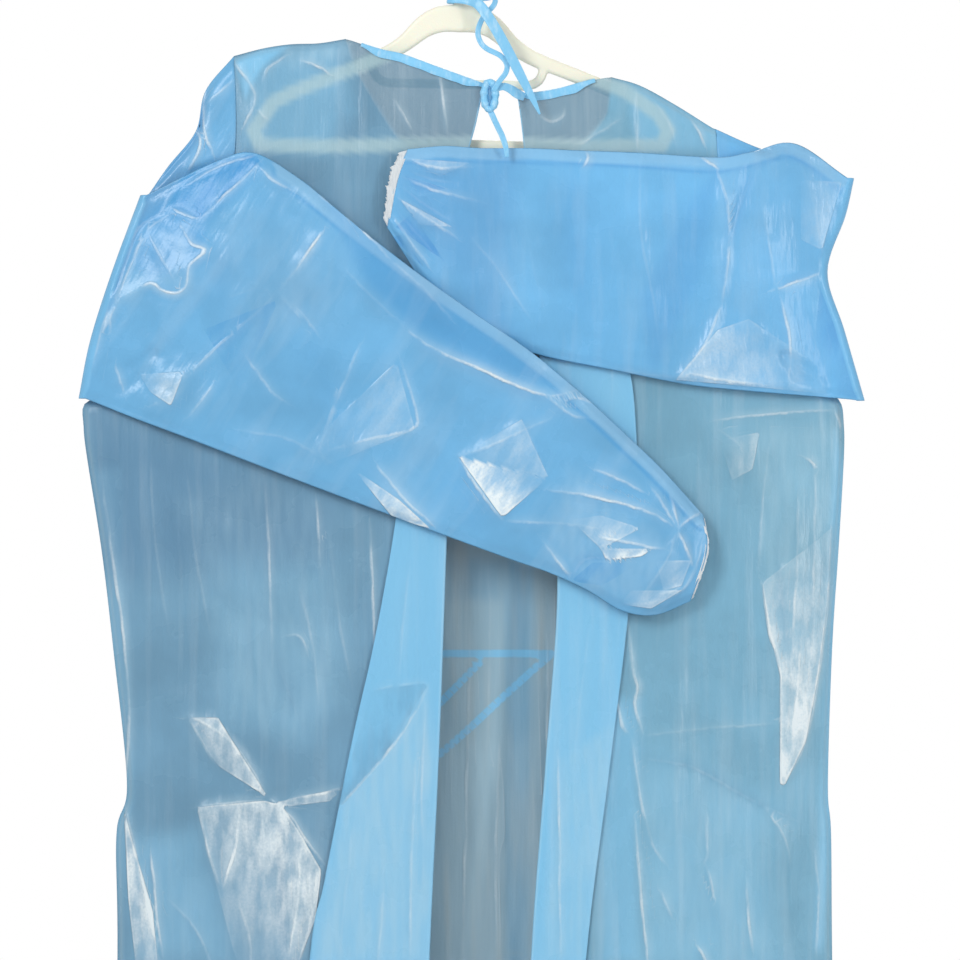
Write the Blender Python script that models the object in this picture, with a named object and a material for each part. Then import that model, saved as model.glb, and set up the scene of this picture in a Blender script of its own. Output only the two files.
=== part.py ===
"""Isolation gown hung on a flat moulded hanger, with its back towards -Y.

All sizes are in millimetres until a mesh is made. X runs to the right as the
back of the gown is looked at, Y runs from the back to the front, and Z is up.
The origin is the top of the hook's inside, where the hanger sits on a rail.
"""

import math
from collections import namedtuple

import bmesh
import bpy
from mathutils import Vector
from mathutils.bvhtree import BVHTree

MM = 0.001

# Driving dimensions, in millimetres.
HEM_Z = -1258.0
WALL = 1.2
GAP = 0.3
SEAM_HALF_GAP = 0.15
SEAM_FLAT = 1.2
ROLL_DEPTH = 4.5
ROLL_RUN = 6.0
CROWN_RUN = 240.0
ARMHOLE_GAP = 0.6
UNDERARM_INSET = 0.025
UNDERARM_START = 0.84
FLAP_BEND = 2.0
SLEEVE_BEND = 6.5
BINDING_WIDTH = 9.0
BINDING_WALL = 0.9
BINDING_STEP = 9.0
BINDING_START = 23.0
BELT_WIDTH = 11.0
BELT_WALL = 0.9
ELASTIC_WIDTH = 6.5
ELASTIC_WALL = 1.2
ELASTIC_GAP = 0.8
HANGER_THICK = 7.0
HANGER_TILT = math.radians(1.3)
HOOK_RADIUS = 25.5
HOOK_BAR = 9.0

# Depth of the gown's hollow away from its seams: at the chest and at the hem.
BACK_CROWN = (12.0, 24.0)
FRONT_CROWN = (20.0, 34.0)
CHEST_Z = -400.0

# Outlines, each a list of (x, z) points from the shoulder down or neck outwards.
SHOULDER_LEFT = [(-214, -109), (-187, -102), (-161, -98), (-134, -97), (-109, -93)]
SHOULDER_RIGHT = [(142, -129), (169, -137), (202, -155), (234, -175), (240, -178)]
NECK_BACK_LEFT = [(-109, -93), (-76, -104), (-55, -109), (-20, -122), (24, -138)]
NECK_BACK_RIGHT = [(51, -146), (70, -145), (93, -141), (121, -133), (142, -129)]
NECK_FRONT = [(-109, -93), (-97, -128), (-57, -191), (-20, -216), (27, -225), (74, -217), (112, -197),
              (138, -165), (142, -129)]
ARMHOLE_LEFT = [(-214, -109), (-212, -152), (-213, -203), (-222, -260), (-240, -310), (-264, -352),
                (-288, -390)]
ARMHOLE_RIGHT = [(240, -178), (244, -236), (252, -285), (266, -325), (284, -360), (304, -392)]
SIDE_LEFT = [(-288, -390), (-297, -417), (-315, -441), (-343, -455), (-353, -486), (-339, -575),
             (-328, -668), (-315, -796), (-325, -843), (-324, -960), (-328, HEM_Z)]
SIDE_RIGHT = [(304, -392), (311, -419), (328, -443), (352, -457), (361, -490), (356, -575),
              (350, -668), (346, -796), (349, -843), (350, -960), (354, HEM_Z)]
FOLD_LEFT = [(24, -138), (16, -175), (8, -208), (2, -274), (-6, -387), (-10, -481), (-13, -570),
             (-20, -763), (-29, -960), (-40, HEM_Z)]
FOLD_RIGHT = [(51, -146), (57, -196), (79, -274), (101, -349), (111, -405), (107, -481), (90, -612),
              (79, -772), (65, -960), (51, HEM_Z)]
FLAP_EDGE_LEFT = [(-20, -274), (-48, -434), (-62, -551), (-81, -659), (-102, -753), (-128, -885),
                  (-142, -960), (-165, HEM_Z)]
FLAP_EDGE_RIGHT = [(112, -293), (154, -387), (165, -471), (163, -546), (157, -636), (138, -791),
                   (117, -960), (93, HEM_Z)]

# Shares along a panel where one edge curve hands over to the next.
ARMHOLE_SHARE = 0.25
NECK_SHARE_BACK = 0.45
NECK_SHARE_FRONT = 0.22

ARMHOLE_STEPS = [0, 0.015, 0.04, 0.09, 0.18, 0.3, 0.44, 0.58, 0.72, 0.84, 0.93, 0.975, 1]
SIDE_STEPS = 11
BACK_STEPS = [0, 0.012, 0.03, 0.06, 0.12, 0.22, 0.34, NECK_SHARE_BACK, 0.475, 0.5,
              0.58, 0.72, 0.86, 1]
FRONT_HALF_STEPS = [0, 0.006, 0.015, 0.03, 0.06, 0.11, 0.165, NECK_SHARE_FRONT, 0.237, 0.256,
                    0.3, 0.4]
FRONT_STEPS = FRONT_HALF_STEPS + [0.5] + [1 - step for step in reversed(FRONT_HALF_STEPS)]
FLAP_STEPS = [0.3, 0.65, 1]
BEND_TURNS = [45, 90, 135]

# The largest soft folds of the body, as ridges that stand out from the panel.
Fold = namedtuple("Fold", "panel x_top z_top x_low z_low height width")
BODY_FOLDS = [
    Fold("back_left", -215, -560, -240, -1200, 4.0, 22.0),
    Fold("back_left", -262, -720, -170, -1240, 3.5, 18.0),
    Fold("back_left", -120, -700, -215, -940, 3.0, 16.0),
    Fold("back_right", 318, -540, 300, -1240, 4.5, 24.0),
    Fold("back_right", 262, -560, 255, -1240, 3.0, 20.0),
    Fold("back_right", 200, -700, 185, -1240, 3.5, 18.0),
    Fold("front", 58, -590, 52, -1250, 4.0, 14.0),
    Fold("front", -30, -700, -60, -1250, 3.5, 26.0),
    Fold("front", -190, -500, -215, -1250, 4.5, 30.0),
    Fold("front", 210, -480, 235, -1250, 4.5, 30.0),
]

# Each sleeve: its edges from the armhole to the fold, then from the fold to the cuff.
Sleeve = namedtuple("Sleeve", "out armhole top low fold over_top over_low cuff lifts")
# How far the folded half lies in front of the back panel, by its share from fold to cuff,
# and how much more its top edge rises where it passes over the other sleeve.
Lift = namedtuple("Lift", "share lift over puff")
SLEEVES = {
    "sleeve_left": Sleeve(
        out=-1,
        armhole=ARMHOLE_LEFT,
        top=[(-214, -109), (-241, -142), (-250, -180), (-276, -213), (-302, -241)],
        low=[(-288, -390), (-360, -432)],
        fold=[(-302, -241), (-328, -311), (-349, -377), (-360, -432)],
        over_top=[(-302, -241), (-259, -223), (-225, -208), (-194, -202), (-151, -227), (-104, -266),
                  (-48, -310), (8, -350), (65, -389), (117, -432), (159, -471), (189, -500), (227, -542)],
        over_low=[(-360, -432), (-306, -451), (-255, -470), (-161, -506), (-57, -545), (41, -581),
                  (84, -596), (119, -612), (151, -631), (182, -635), (215, -622)],
        cuff=[(227, -542), (230, -575), (215, -622)],
        lifts=[Lift(0.0, 11.0, 0.0, 0.0), Lift(0.18, 11.5, 0.0, 2.5), Lift(0.34, 11.5, 11.5, 1.0),
               Lift(0.62, 11.5, 12.5, 1.0), Lift(0.82, 13.0, 3.0, 3.0), Lift(0.94, 15.0, 0.0, 5.0),
               Lift(1.0, 14.0, 0.0, 2.0)]),
    "sleeve_right": Sleeve(
        out=1,
        armhole=ARMHOLE_RIGHT,
        top=[(240, -178), (281, -196), (328, -211), (370, -225)],
        low=[(304, -392), (380, -434)],
        fold=[(370, -225), (362, -260), (345, -313), (361, -368), (380, -434)],
        over_top=[(370, -225), (314, -193), (272, -201), (241, -206), (168, -202), (112, -200), (65, -198),
                  (18, -198), (-15, -196), (-50, -199)],
        over_low=[(380, -434), (356, -432), (258, -424), (206, -418), (140, -405), (79, -393), (37, -379),
                  (-6, -357), (-34, -326), (-53, -297), (-69, -272)],
        cuff=[(-50, -199), (-61, -227), (-69, -272)],
        lifts=[Lift(0.0, 11.0, 0.0, 0.0), Lift(0.2, 11.0, 0.0, 0.5), Lift(0.9, 11.0, 0.0, 0.5),
               Lift(1.0, 11.0, 0.0, 0.0)]),
}
UNDER_STEPS = [0, 0.2, 0.4, 0.6, 0.8, 1]
OVER_STEPS = [0, 0.04, 0.09, 0.16, 0.25, 0.35, 0.45, 0.55, 0.65, 0.75, 0.84, 0.91, 0.96, 1]
FOLD_RUN = 80.0
OVER_RISE = 0.3

# Half of the hanger's frame, from its crest over the right arm to the bar's middle.
Bar = namedtuple("Bar", "x z width")
HANGER_FRAME = [
    Bar(0, -73.5, 26), Bar(18, -74.5, 25), Bar(34, -82.5, 21), Bar(47, -94.5, 17), Bar(60, -104, 15),
    Bar(76, -112, 14), Bar(103, -122, 13.5), Bar(131, -132.5, 13.5), Bar(155, -142.5, 13.5),
    Bar(172, -152, 13), Bar(186, -165, 12.5), Bar(194.5, -178, 12), Bar(195.5, -187.5, 11.5),
    Bar(189, -194, 11), Bar(178, -196, 11), Bar(120, -195, 11), Bar(60, -193.5, 11)]
HANGER_BAR_MIDDLE = Bar(0, -193, 11)
INNER_BAR = [Bar(80, -112, 9), Bar(80, -122, 9), Bar(76, -131, 9), Bar(66, -135.5, 9), Bar(50, -135.5, 9)]
HOOK_TURN = (-78, 205)

# The neck ties: (x, y, z) points and the tie's width there.
Strand = namedtuple("Strand", "x y z width")
TIE_UP = [
    Strand(30.5, -22.3, -144, 5), Strand(36, -23, -135, 5), Strand(42, -24, -127, 5),
    Strand(43, -24.5, -119, 5), Strand(37, -24, -111, 5),
    Strand(24, -22, -104, 5), Strand(18, -20, -97, 5), Strand(16, -18, -87, 5), Strand(21, -16, -74, 5),
    Strand(31, -12, -62, 5), Strand(31, -3, -54.5, 5), Strand(21, 6, -54, 5), Strand(6, 10, -55, 5),
    Strand(-9, 7, -56, 6), Strand(-13, -2, -56, 7), Strand(-8, -10, -56, 8), Strand(6, -14, -57.5, 9),
    Strand(17, -20.5, -63, 10), Strand(29, -25.5, -80, 10), Strand(42, -27.5, -103, 10),
    Strand(56, -27.5, -130, 9), Strand(67, -26.5, -151, 6), Strand(74, -26, -166, 2)]
TIE_DOWN = [
    Strand(28, -19.8, -163.3, 5.5), Strand(31, -22.5, -170, 5.5), Strand(35, -28, -179, 5.5),
    Strand(39, -33.5, -188, 5.5),
    Strand(42, -36.5, -198, 5), Strand(43, -37, -207, 4)]
TIE_BRIDGE = [
    Strand(58, -15.6, -149.5, 6), Strand(52, -16, -147, 5.5), Strand(45, -17.7, -143.5, 5.5),
    Strand(40, -18.8, -142.5, 5.5), Strand(35.4, -19.2, -144, 5)]
TIE_WALL = 1.2
KNOT_CENTRE = (27.0, -19.1, -148.0)
KNOT_HALF_WIDTH = 5.4
KNOT_HALF_HEIGHT = 12.6
KNOT_BAR = 4.6

# The belt lies on the outside of the front: (x, z) paths and what they lie above.
BELT_BAND = [(-165, -681), (-100, -677), (-12, -674), (86, -674)]
BELT_TAIL_LONG = [(84, -676), (50, -706), (-17, -767), (-123, -857), (-150, -905)]
BELT_TAIL_SHORT = [(18, -682), (-15, -716), (-104, -808), (-128, -850)]
BELT_STEP = 16.0


def clear_scene():
    for obj in list(bpy.data.objects):
        bpy.data.objects.remove(obj, do_unlink=True)


def finish(name, colour, roughness):
    """A plain Principled material."""
    material = bpy.data.materials.new(name)
    material.use_nodes = True
    shader = material.node_tree.nodes["Principled BSDF"]
    shader.inputs["Base Color"].default_value = (*colour, 1)
    shader.inputs["Roughness"].default_value = roughness
    shader.inputs["Metallic"].default_value = 0
    return material


def ease(share):
    """A smooth step from 0 to 1."""
    share = min(max(share, 0), 1)
    return share * share * (3 - 2 * share)


def blend(a, b, share):
    return tuple(p + (q - p) * share for p, q in zip(a, b))


def soft_line(points, steps=8):
    """A dense polyline on a Catmull-Rom curve through the points."""
    ends = [blend(points[1], points[0], 2)] + list(points) + [blend(points[-2], points[-1], 2)]
    line = []
    for a, b, c, d in zip(ends, ends[1:], ends[2:], ends[3:]):
        for step in range(steps):
            t = step / steps
            line.append(tuple(
                0.5 * (2 * q + (r - p) * t + (2 * p - 5 * q + 4 * r - s) * t * t
                       + (3 * q - p - 3 * r + s) * t ** 3)
                for p, q, r, s in zip(a, b, c, d)))
    line.append(tuple(points[-1]))
    return line


def at(line, share):
    """The point at a share of a polyline's length."""
    lengths = [math.dist(a, b) for a, b in zip(line, line[1:])]
    left = share * sum(lengths)
    for a, b, length in zip(line, line[1:], lengths):
        if left <= length:
            return blend(a, b, left / length if length else 0)
        left -= length
    return tuple(line[-1])


def x_at(line, z):
    """Where a falling line crosses a height."""
    for a, b in zip(line, line[1:]):
        if b[1] <= z <= a[1]:
            return a[0] + (b[0] - a[0]) * (a[1] - z) / (a[1] - b[1])
    return line[0][0] if z > line[0][1] else line[-1][0]


def distance(point, line):
    """How far a point lies from a polyline."""
    px, pz = point
    nearest = math.inf
    for (ax, az), (bx, bz) in zip(line, line[1:]):
        dx, dz = bx - ax, bz - az
        run = ((px - ax) * dx + (pz - az) * dz) / (dx * dx + dz * dz)
        run = min(max(run, 0), 1)
        nearest = min(nearest, math.hypot(px - ax - dx * run, pz - az - dz * run))
    return nearest


def joined(first, second, split):
    """One edge made of two curves, which meet at the share split."""
    def edge(share):
        if share <= split:
            return at(first, share / split)
        return at(second, (share - split) / (1 - split))
    return edge


def patch(top, low, left, right, u, v):
    """The point of a sheet stretched between four edge curves."""
    corners = (top(0), top(1), low(0), low(1))
    values = []
    for axis in (0, 1):
        across = (1 - v) * top(u)[axis] + v * low(u)[axis]
        down = (1 - u) * left(v)[axis] + u * right(v)[axis]
        flat = ((1 - u) * (1 - v) * corners[0][axis] + u * (1 - v) * corners[1][axis]
                + (1 - u) * v * corners[2][axis] + u * v * corners[3][axis])
        values.append(across + down - flat)
    return tuple(values)


# Closed seams, which hold the front and the back together.
CLOSED_SEAMS = [
    soft_line(SHOULDER_LEFT), soft_line(SHOULDER_RIGHT), soft_line(SIDE_LEFT), soft_line(SIDE_RIGHT),
    soft_line(SLEEVES["sleeve_left"].top), soft_line(SLEEVES["sleeve_left"].low),
    soft_line(SLEEVES["sleeve_right"].top), soft_line(SLEEVES["sleeve_right"].low)]


def fold_height(panel, x, z):
    """How far the panel's soft folds stand out at a point."""
    height = 0
    for fold in BODY_FOLDS:
        if fold.panel != panel:
            continue
        line = [(fold.x_top, fold.z_top), (fold.x_low, fold.z_low)]
        height += fold.height * math.exp(-(distance((x, z), line) / fold.width) ** 2)
    return height


def depth(x, z, crown, share=1.0, panel=None):
    """The inside's distance from the mid plane: a flat seam, a roll, then a long crown."""
    seam = min(distance((x, z), line) for line in CLOSED_SEAMS)
    roll = ROLL_DEPTH * ease((seam - SEAM_FLAT) / ROLL_RUN)
    low = ease((CHEST_Z - z) / (CHEST_Z - HEM_Z))
    full = crown[0] + (crown[1] - crown[0]) * low
    rise = full * (1 - (1 - min(seam / CROWN_RUN, 1)) ** 2.2) * share
    folds = fold_height(panel, x, z) * ease(seam / 60) if panel else 0
    return SEAM_HALF_GAP + roll + rise + folds


def mesh_object(name, points, faces, material):
    """A named object from points in millimetres."""
    mesh = bpy.data.meshes.new(name)
    mesh.from_pydata([Vector(point) * MM for point in points], [], faces)
    mesh.materials.append(material)
    mesh.shade_smooth()
    mesh.set_sharp_from_angle(angle=math.radians(40))
    obj = bpy.data.objects.new(name, mesh)
    bpy.context.scene.collection.objects.link(obj)
    return obj


def thicken(obj, wall):
    """Gives an open sheet its wall, on the side its faces look to."""
    solid = obj.modifiers.new("wall", "SOLIDIFY")
    solid.thickness = wall * MM
    solid.offset = 1
    solid.use_even_offset = False


def cloth_grid(name, rows, material, wall, flip, ring=False):
    """A sheet from rows of points; a missing point is None. A ring closes each row.

    Returns a search tree of the sheet's inner side, for what is laid on it.
    """
    numbers = {}
    points = []
    for r, row in enumerate(rows):
        for c, point in enumerate(row):
            if point is not None:
                numbers[r, c] = len(points)
                points.append(point)
    faces = []
    for r in range(len(rows) - 1):
        count = len(rows[r])
        for column in range(count if ring else count - 1):
            nxt = (column + 1) % count
            corners = [(r, column), (r + 1, column), (r + 1, nxt), (r, nxt)]
            if all(corner in numbers for corner in corners):
                a, b, c, d = [numbers[corner] for corner in corners]
                faces += [(c, b, a), (d, c, a)] if flip else [(a, b, c), (a, c, d)]
    thicken(mesh_object(name, points, faces, material), wall)
    return BVHTree.FromPolygons(points, faces)


def panel_rows():
    """Shares down a body panel: the armhole's steps, then the side seam's."""
    upper = [step * ARMHOLE_SHARE for step in ARMHOLE_STEPS]
    lower = [ARMHOLE_SHARE + (1 - ARMHOLE_SHARE) * step / SIDE_STEPS for step in range(1, SIDE_STEPS + 1)]
    return upper + lower


def body_edge(armhole, side):
    return joined(soft_line(armhole), soft_line(side), ARMHOLE_SHARE)


def line_edge(line):
    return lambda share: at(line, share)


# A panel's inner side as a search tree, the side it faces, and its neck edge.
Panel = namedtuple("Panel", "tree side neck")


def neck_points(row, steps, start, end):
    """The (x, z) points of a panel's first row that lie on the neck edge."""
    return [(point[0], point[2]) for point, step in zip(row, steps) if start <= step <= end]


def off_panel(panel, x, z, lift):
    """The point a lift outside a panel's inner side, square to it, or off its nearest edge."""
    far = 200.0
    hit, normal = panel.tree.ray_cast(Vector((x, far * panel.side, z)), Vector((0, -panel.side, 0)))[:2]
    if hit is None:
        guess = depth(x, z, FRONT_CROWN if panel.side > 0 else BACK_CROWN) * panel.side
        near, normal = panel.tree.find_nearest(Vector((x, guess, z)))[:2]
        hit = Vector((x, near.y, z))
    if normal.y * panel.side < 0:
        normal = -normal
    return hit + normal * lift


def front_panel(material):
    left = body_edge(ARMHOLE_LEFT, SIDE_LEFT)
    right = body_edge(ARMHOLE_RIGHT, SIDE_RIGHT)
    neck = soft_line(NECK_FRONT)
    shoulders = (soft_line(SHOULDER_LEFT), soft_line(SHOULDER_RIGHT))

    def top(share):
        if share <= NECK_SHARE_FRONT:
            return at(shoulders[0], share / NECK_SHARE_FRONT)
        if share < 1 - NECK_SHARE_FRONT:
            return at(neck, (share - NECK_SHARE_FRONT) / (1 - 2 * NECK_SHARE_FRONT))
        return at(shoulders[1], (share - 1 + NECK_SHARE_FRONT) / NECK_SHARE_FRONT)

    hem = line_edge([SIDE_LEFT[-1], SIDE_RIGHT[-1]])
    rows = []
    for v in panel_rows():
        row = []
        for u in FRONT_STEPS:
            x, z = patch(top, hem, left, right, u, v)
            row.append((x, depth(x, z, FRONT_CROWN, panel="front"), z))
        rows.append(row)
    tree = cloth_grid("front", rows, material, WALL, flip=True)
    return Panel(tree, 1, neck_points(rows[0], FRONT_STEPS, NECK_SHARE_FRONT, 1 - NECK_SHARE_FRONT))


def back_panel(name, out, armhole, side, shoulder, neck, fold, flap_edge, material):
    """One half of the back, whose opening edge is turned outwards as a flap."""
    edge = body_edge(armhole, side)
    top = joined(soft_line(shoulder), soft_line(neck), NECK_SHARE_BACK)
    fold_line = [(x + out * FLAP_BEND, z) for x, z in soft_line(fold)]
    fold_line[0] = top(1)
    hem = line_edge([edge(1), fold_line[-1]])
    turned = line_edge(fold_line)
    free = soft_line(flap_edge)
    rows = []
    for v in panel_rows():
        row = []
        for u in BACK_STEPS:
            x, z = patch(top, hem, edge, turned, u, v)
            row.append((x, -depth(x, z, BACK_CROWN, panel=name), z))
        x, y, z = row[-1]
        if z > free[0][1]:
            row += [None] * (len(BEND_TURNS) + 1 + len(FLAP_STEPS))
        else:
            for turn in BEND_TURNS + [180]:
                angle = math.radians(turn)
                row.append((x - out * FLAP_BEND * math.sin(angle), y - FLAP_BEND * (1 - math.cos(angle)), z))
            end = x_at(free, z)
            for step in FLAP_STEPS:
                along = x + (end - x) * step
                row.append((along, -depth(along, z, BACK_CROWN, panel=name) - 2 * FLAP_BEND, z))
        rows.append(row)
    tree = cloth_grid(name, rows, material, WALL, flip=out > 0)
    return Panel(tree, -1, neck_points(rows[0], BACK_STEPS, NECK_SHARE_BACK, 1))


def lift_at(lifts, share):
    """The lift, the rise over the other sleeve and the puff, at a share of the folded half."""
    for a, b in zip(lifts, lifts[1:]):
        if share <= b.share:
            t = ease((share - a.share) / (b.share - a.share))
            return blend(a[1:], b[1:], t)
    return lifts[-1][1:]


def sleeve_ring(sides):
    """One closed ring from its front and back points, which share their two ends."""
    front, back = sides
    return front + back[-2:0:-1]


def sleeve_profile(across, length):
    """Half of the gap inside a folded sleeve, at a share of its width."""
    if across in (0, 1):
        return 0
    edge = min(across, 1 - across) * length
    return SEAM_HALF_GAP + ROLL_DEPTH * ease((edge - SEAM_FLAT) / ROLL_RUN)


def sleeve_rings(sleeve):
    """Rings from the armhole out to the fold, round it, and back across to the cuff."""
    out = sleeve.out
    inset = SLEEVE_BEND + ROLL_DEPTH + SEAM_HALF_GAP + WALL
    axis = [(x - out * inset, z) for x, z in soft_line(sleeve.fold)]
    armhole_line = soft_line(sleeve.armhole)

    def armhole(share):
        """The armhole's curve, stopped just short of the underarm."""
        past = max(share - UNDERARM_START, 0) / (1 - UNDERARM_START)
        return at(armhole_line, share - past * UNDERARM_INSET)

    axis_edge = line_edge(axis)
    top = line_edge(soft_line(sleeve.top[:-1] + [axis[0]]))
    low = line_edge([armhole(1), axis[-1]])
    over_top = line_edge(soft_line([axis[0]] + sleeve.over_top[1:]))
    over_low = line_edge(soft_line([axis[-1]] + sleeve.over_low[1:]))
    cuff = line_edge(soft_line(sleeve.cuff))
    fold_length = math.dist(axis[0], axis[-1])
    rings = []
    for s in UNDER_STEPS:
        front, back = [], []
        for w in ARMHOLE_STEPS:
            x, z = patch(armhole, axis_edge, top, low, w, s)
            if s == 0:
                above, below = armhole(max(w - 0.01, 0)), armhole(min(w + 0.01, 1))
                drop = math.dist(above, below)
                x += out * ARMHOLE_GAP * (above[1] - below[1]) / drop
                z += out * ARMHOLE_GAP * (below[0] - above[0]) / drop
            share = 1 - ease(s)
            edge = w in (0, 1)
            front.append((x, 0 if edge else depth(x, z, FRONT_CROWN, share), z))
            back.append((x, 0 if edge else -depth(x, z, BACK_CROWN, share), z))
        rings.append(sleeve_ring((front, back)))
    for turn in BEND_TURNS:
        angle = math.radians(turn)
        front, back = [], []
        for w in ARMHOLE_STEPS:
            x, z = axis_edge(w)
            half = sleeve_profile(w, fold_length)
            for side, gap in ((front, half), (back, -half)):
                reach = SLEEVE_BEND + gap
                side.append((x + out * reach * math.sin(angle), reach * math.cos(angle) - SLEEVE_BEND, z))
        rings.append(sleeve_ring((front, back)))
    for s in OVER_STEPS:
        front, back = [], []
        lift, over, puff = lift_at(sleeve.lifts, s)
        width = math.dist(over_top(s), over_low(s))
        for w in ARMHOLE_STEPS:
            x, z = patch(axis_edge, cuff, over_top, over_low, w, s)
            run = math.dist((x, z), axis_edge(w))
            rise = lift + over * (1 - ease(w / OVER_RISE))
            half = sleeve_profile(w, width) + puff * math.sin(math.pi * w)
            body = depth(x, z, BACK_CROWN) + rise + puff * math.sin(math.pi * w)
            y = -blend((2 * SLEEVE_BEND,), (body,), ease(run / FOLD_RUN))[0]
            front.append((x, y - half, z))
            back.append((x, y + half, z))
        rings.append(sleeve_ring((front, back)))
    return rings


def make_sleeve(name, sleeve, cloth, white):
    rings = sleeve_rings(sleeve)
    cloth_grid(name, rings, cloth, WALL, flip=sleeve.out < 0, ring=True)
    ends = [(Vector(end), (Vector(end) - Vector(before)).normalized())
            for before, end in zip(rings[-2], rings[-1])]
    band = []
    for reach in (ELASTIC_GAP, ELASTIC_GAP + ELASTIC_WIDTH):
        band.append([end + along * reach for end, along in ends])
    cloth_grid(name.replace("sleeve", "cuff_elastic"), band, white, ELASTIC_WALL,
               flip=sleeve.out < 0, ring=True)


def neck_binding(name, panel, start, end, material):
    """A strip folded over a panel's neck edge, from start to end millimetres along it."""
    line = panel.neck
    length = sum(math.dist(a, b) for a, b in zip(line, line[1:]))
    count = max(2, round((length - start - end) / BINDING_STEP))
    rows = []
    for index in range(count + 1):
        share = (start + (length - start - end) * index / count) / length
        x, z = at(line, share)
        ahead = Vector(at(line, min(share + 0.01, 1)))
        behind = Vector(at(line, max(share - 0.01, 0)))
        along = (ahead - behind).normalized()
        into = Vector((along.y, -along.x)) * (1 if along.x > 0 else -1)
        row = []
        reaches = (BINDING_WIDTH, BINDING_WIDTH / 2, -GAP)
        for reach, lift in ([(reach, WALL + GAP) for reach in reaches] + [(reach, -GAP) for reach in reaches[::-1]]):
            row.append(off_panel(panel, x + into.x * reach, z + into.y * reach, lift))
        rows.append(row)
    cloth_grid(name, rows, material, BINDING_WALL, flip=(panel.side > 0) == (line[0][0] < line[-1][0]))


def laid_strip(name, panel, path, lift, material):
    """A flat strip on the outside of the front, made from the panel's points moved out."""
    line = soft_line(path)
    length = sum(math.dist(a, b) for a, b in zip(line, line[1:]))
    count = math.ceil(length / BELT_STEP)
    rows = []
    for index in range(count + 1):
        share = index / count
        x, z = at(line, share)
        ahead = Vector(at(line, min(share + 0.01, 1)))
        behind = Vector(at(line, max(share - 0.01, 0)))
        along = (ahead - behind).normalized()
        across = Vector((-along.y, along.x)) * BELT_WIDTH / 2
        row = []
        for side in (1, 0, -1):
            row.append(off_panel(panel, x + across.x * side, z + across.y * side, WALL + lift))
        rows.append(row)
    cloth_grid(name, rows, material, BELT_WALL, flip=False)


def loft(name, rings, material, closed=False):
    """A solid through rings of points, capped at its ends or closed on itself."""
    count = len(rings[0])
    points = [point for ring in rings for point in ring]
    faces = []
    spans = len(rings) if closed else len(rings) - 1
    for r in range(spans):
        here, there = r * count, (r + 1) % len(rings) * count
        for c in range(count):
            nxt = (c + 1) % count
            faces.append([here + c, here + nxt, there + nxt, there + c])
    if not closed:
        faces.append(list(range(count))[::-1])
        faces.append([(len(rings) - 1) * count + c for c in range(count)])
    obj = mesh_object(name, points, faces, material)
    form = bmesh.new()
    form.from_mesh(obj.data)
    bmesh.ops.recalc_face_normals(form, faces=form.faces)
    form.to_mesh(obj.data)
    form.free()
    return obj


def tie_strand(name, strands, material, steps=3):
    """A flat tie swept along its points, without twisting."""
    line = soft_line(strands, steps)
    side = None
    rings = []
    for index, (x, y, z, width) in enumerate(line):
        ahead = Vector(line[min(index + 1, len(line) - 1)][:3])
        behind = Vector(line[max(index - 1, 0)][:3])
        along = (ahead - behind).normalized()
        if side is None:
            side = along.cross(Vector((0, 1, 0)))
        side = (side - along * side.dot(along)).normalized()
        thin = along.cross(side) * TIE_WALL / 2
        wide = side * width / 2
        centre = Vector((x, y, z))
        rings.append([centre + wide + thin, centre - wide + thin, centre - wide - thin, centre + wide - thin])
    return loft(name, rings, material)


def knot(material):
    """The wrapped knot: an oval ring of rolled tie."""
    around, sides = 20, 8
    rings = []
    for index in range(around):
        angle = 2 * math.pi * index / around
        centre = Vector(KNOT_CENTRE) + Vector((KNOT_HALF_WIDTH * math.cos(angle), 0,
                                               KNOT_HALF_HEIGHT * math.sin(angle)))
        out = Vector((math.cos(angle) * KNOT_HALF_HEIGHT, 0, math.sin(angle) * KNOT_HALF_WIDTH)).normalized()
        ring = []
        for side in range(sides):
            turn = 2 * math.pi * side / sides
            ring.append(centre + (out * math.cos(turn) + Vector((0, math.sin(turn), 0))) * KNOT_BAR / 2)
        rings.append(ring)
    return loft("neck_knot", rings, material, closed=True)


def tilted(x, y, z):
    """A point of the hanger, turned about the rail it hangs on."""
    cos, sin = math.cos(HANGER_TILT), math.sin(HANGER_TILT)
    return (x * cos + z * sin, y, z * cos - x * sin)


def flat_bar(name, bars, material, closed=False, thick=HANGER_THICK, steps=2):
    """A bar of rounded flat section along a path in the hanger's plane."""
    if closed:
        path = soft_line([bars[-1]] + bars + bars[:2], steps)[steps:-steps]
        path = path[:-1]
    else:
        path = soft_line(bars, steps)
    rings = []
    for index, (x, z, width) in enumerate(path):
        last = len(path) - 1
        ahead = path[(index + 1) % len(path)] if closed else path[min(index + 1, last)]
        behind = path[index - 1] if closed else path[max(index - 1, 0)]
        along = Vector((ahead[0] - behind[0], ahead[1] - behind[1])).normalized()
        across = Vector((-along.y, along.x))
        corner = thick * 0.3
        half, deep = width / 2, thick / 2
        ring = []
        for side, y in ((half, deep - corner), (half - corner, deep), (corner - half, deep),
                        (-half, deep - corner), (-half, corner - deep), (corner - half, -deep),
                        (half - corner, -deep), (half, corner - deep)):
            ring.append(tilted(x + across.x * side, y, z + across.y * side))
        rings.append(ring)
    return loft(name, rings, material, closed)


def union(obj, other):
    """Fuses another solid into the object and keeps the other as a hidden cutter."""
    other.hide_render = True
    other.display_type = "WIRE"
    fuse = obj.modifiers.new("fuse " + other.name, "BOOLEAN")
    fuse.operation = "UNION"
    fuse.solver = "EXACT"
    fuse.object = other


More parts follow.
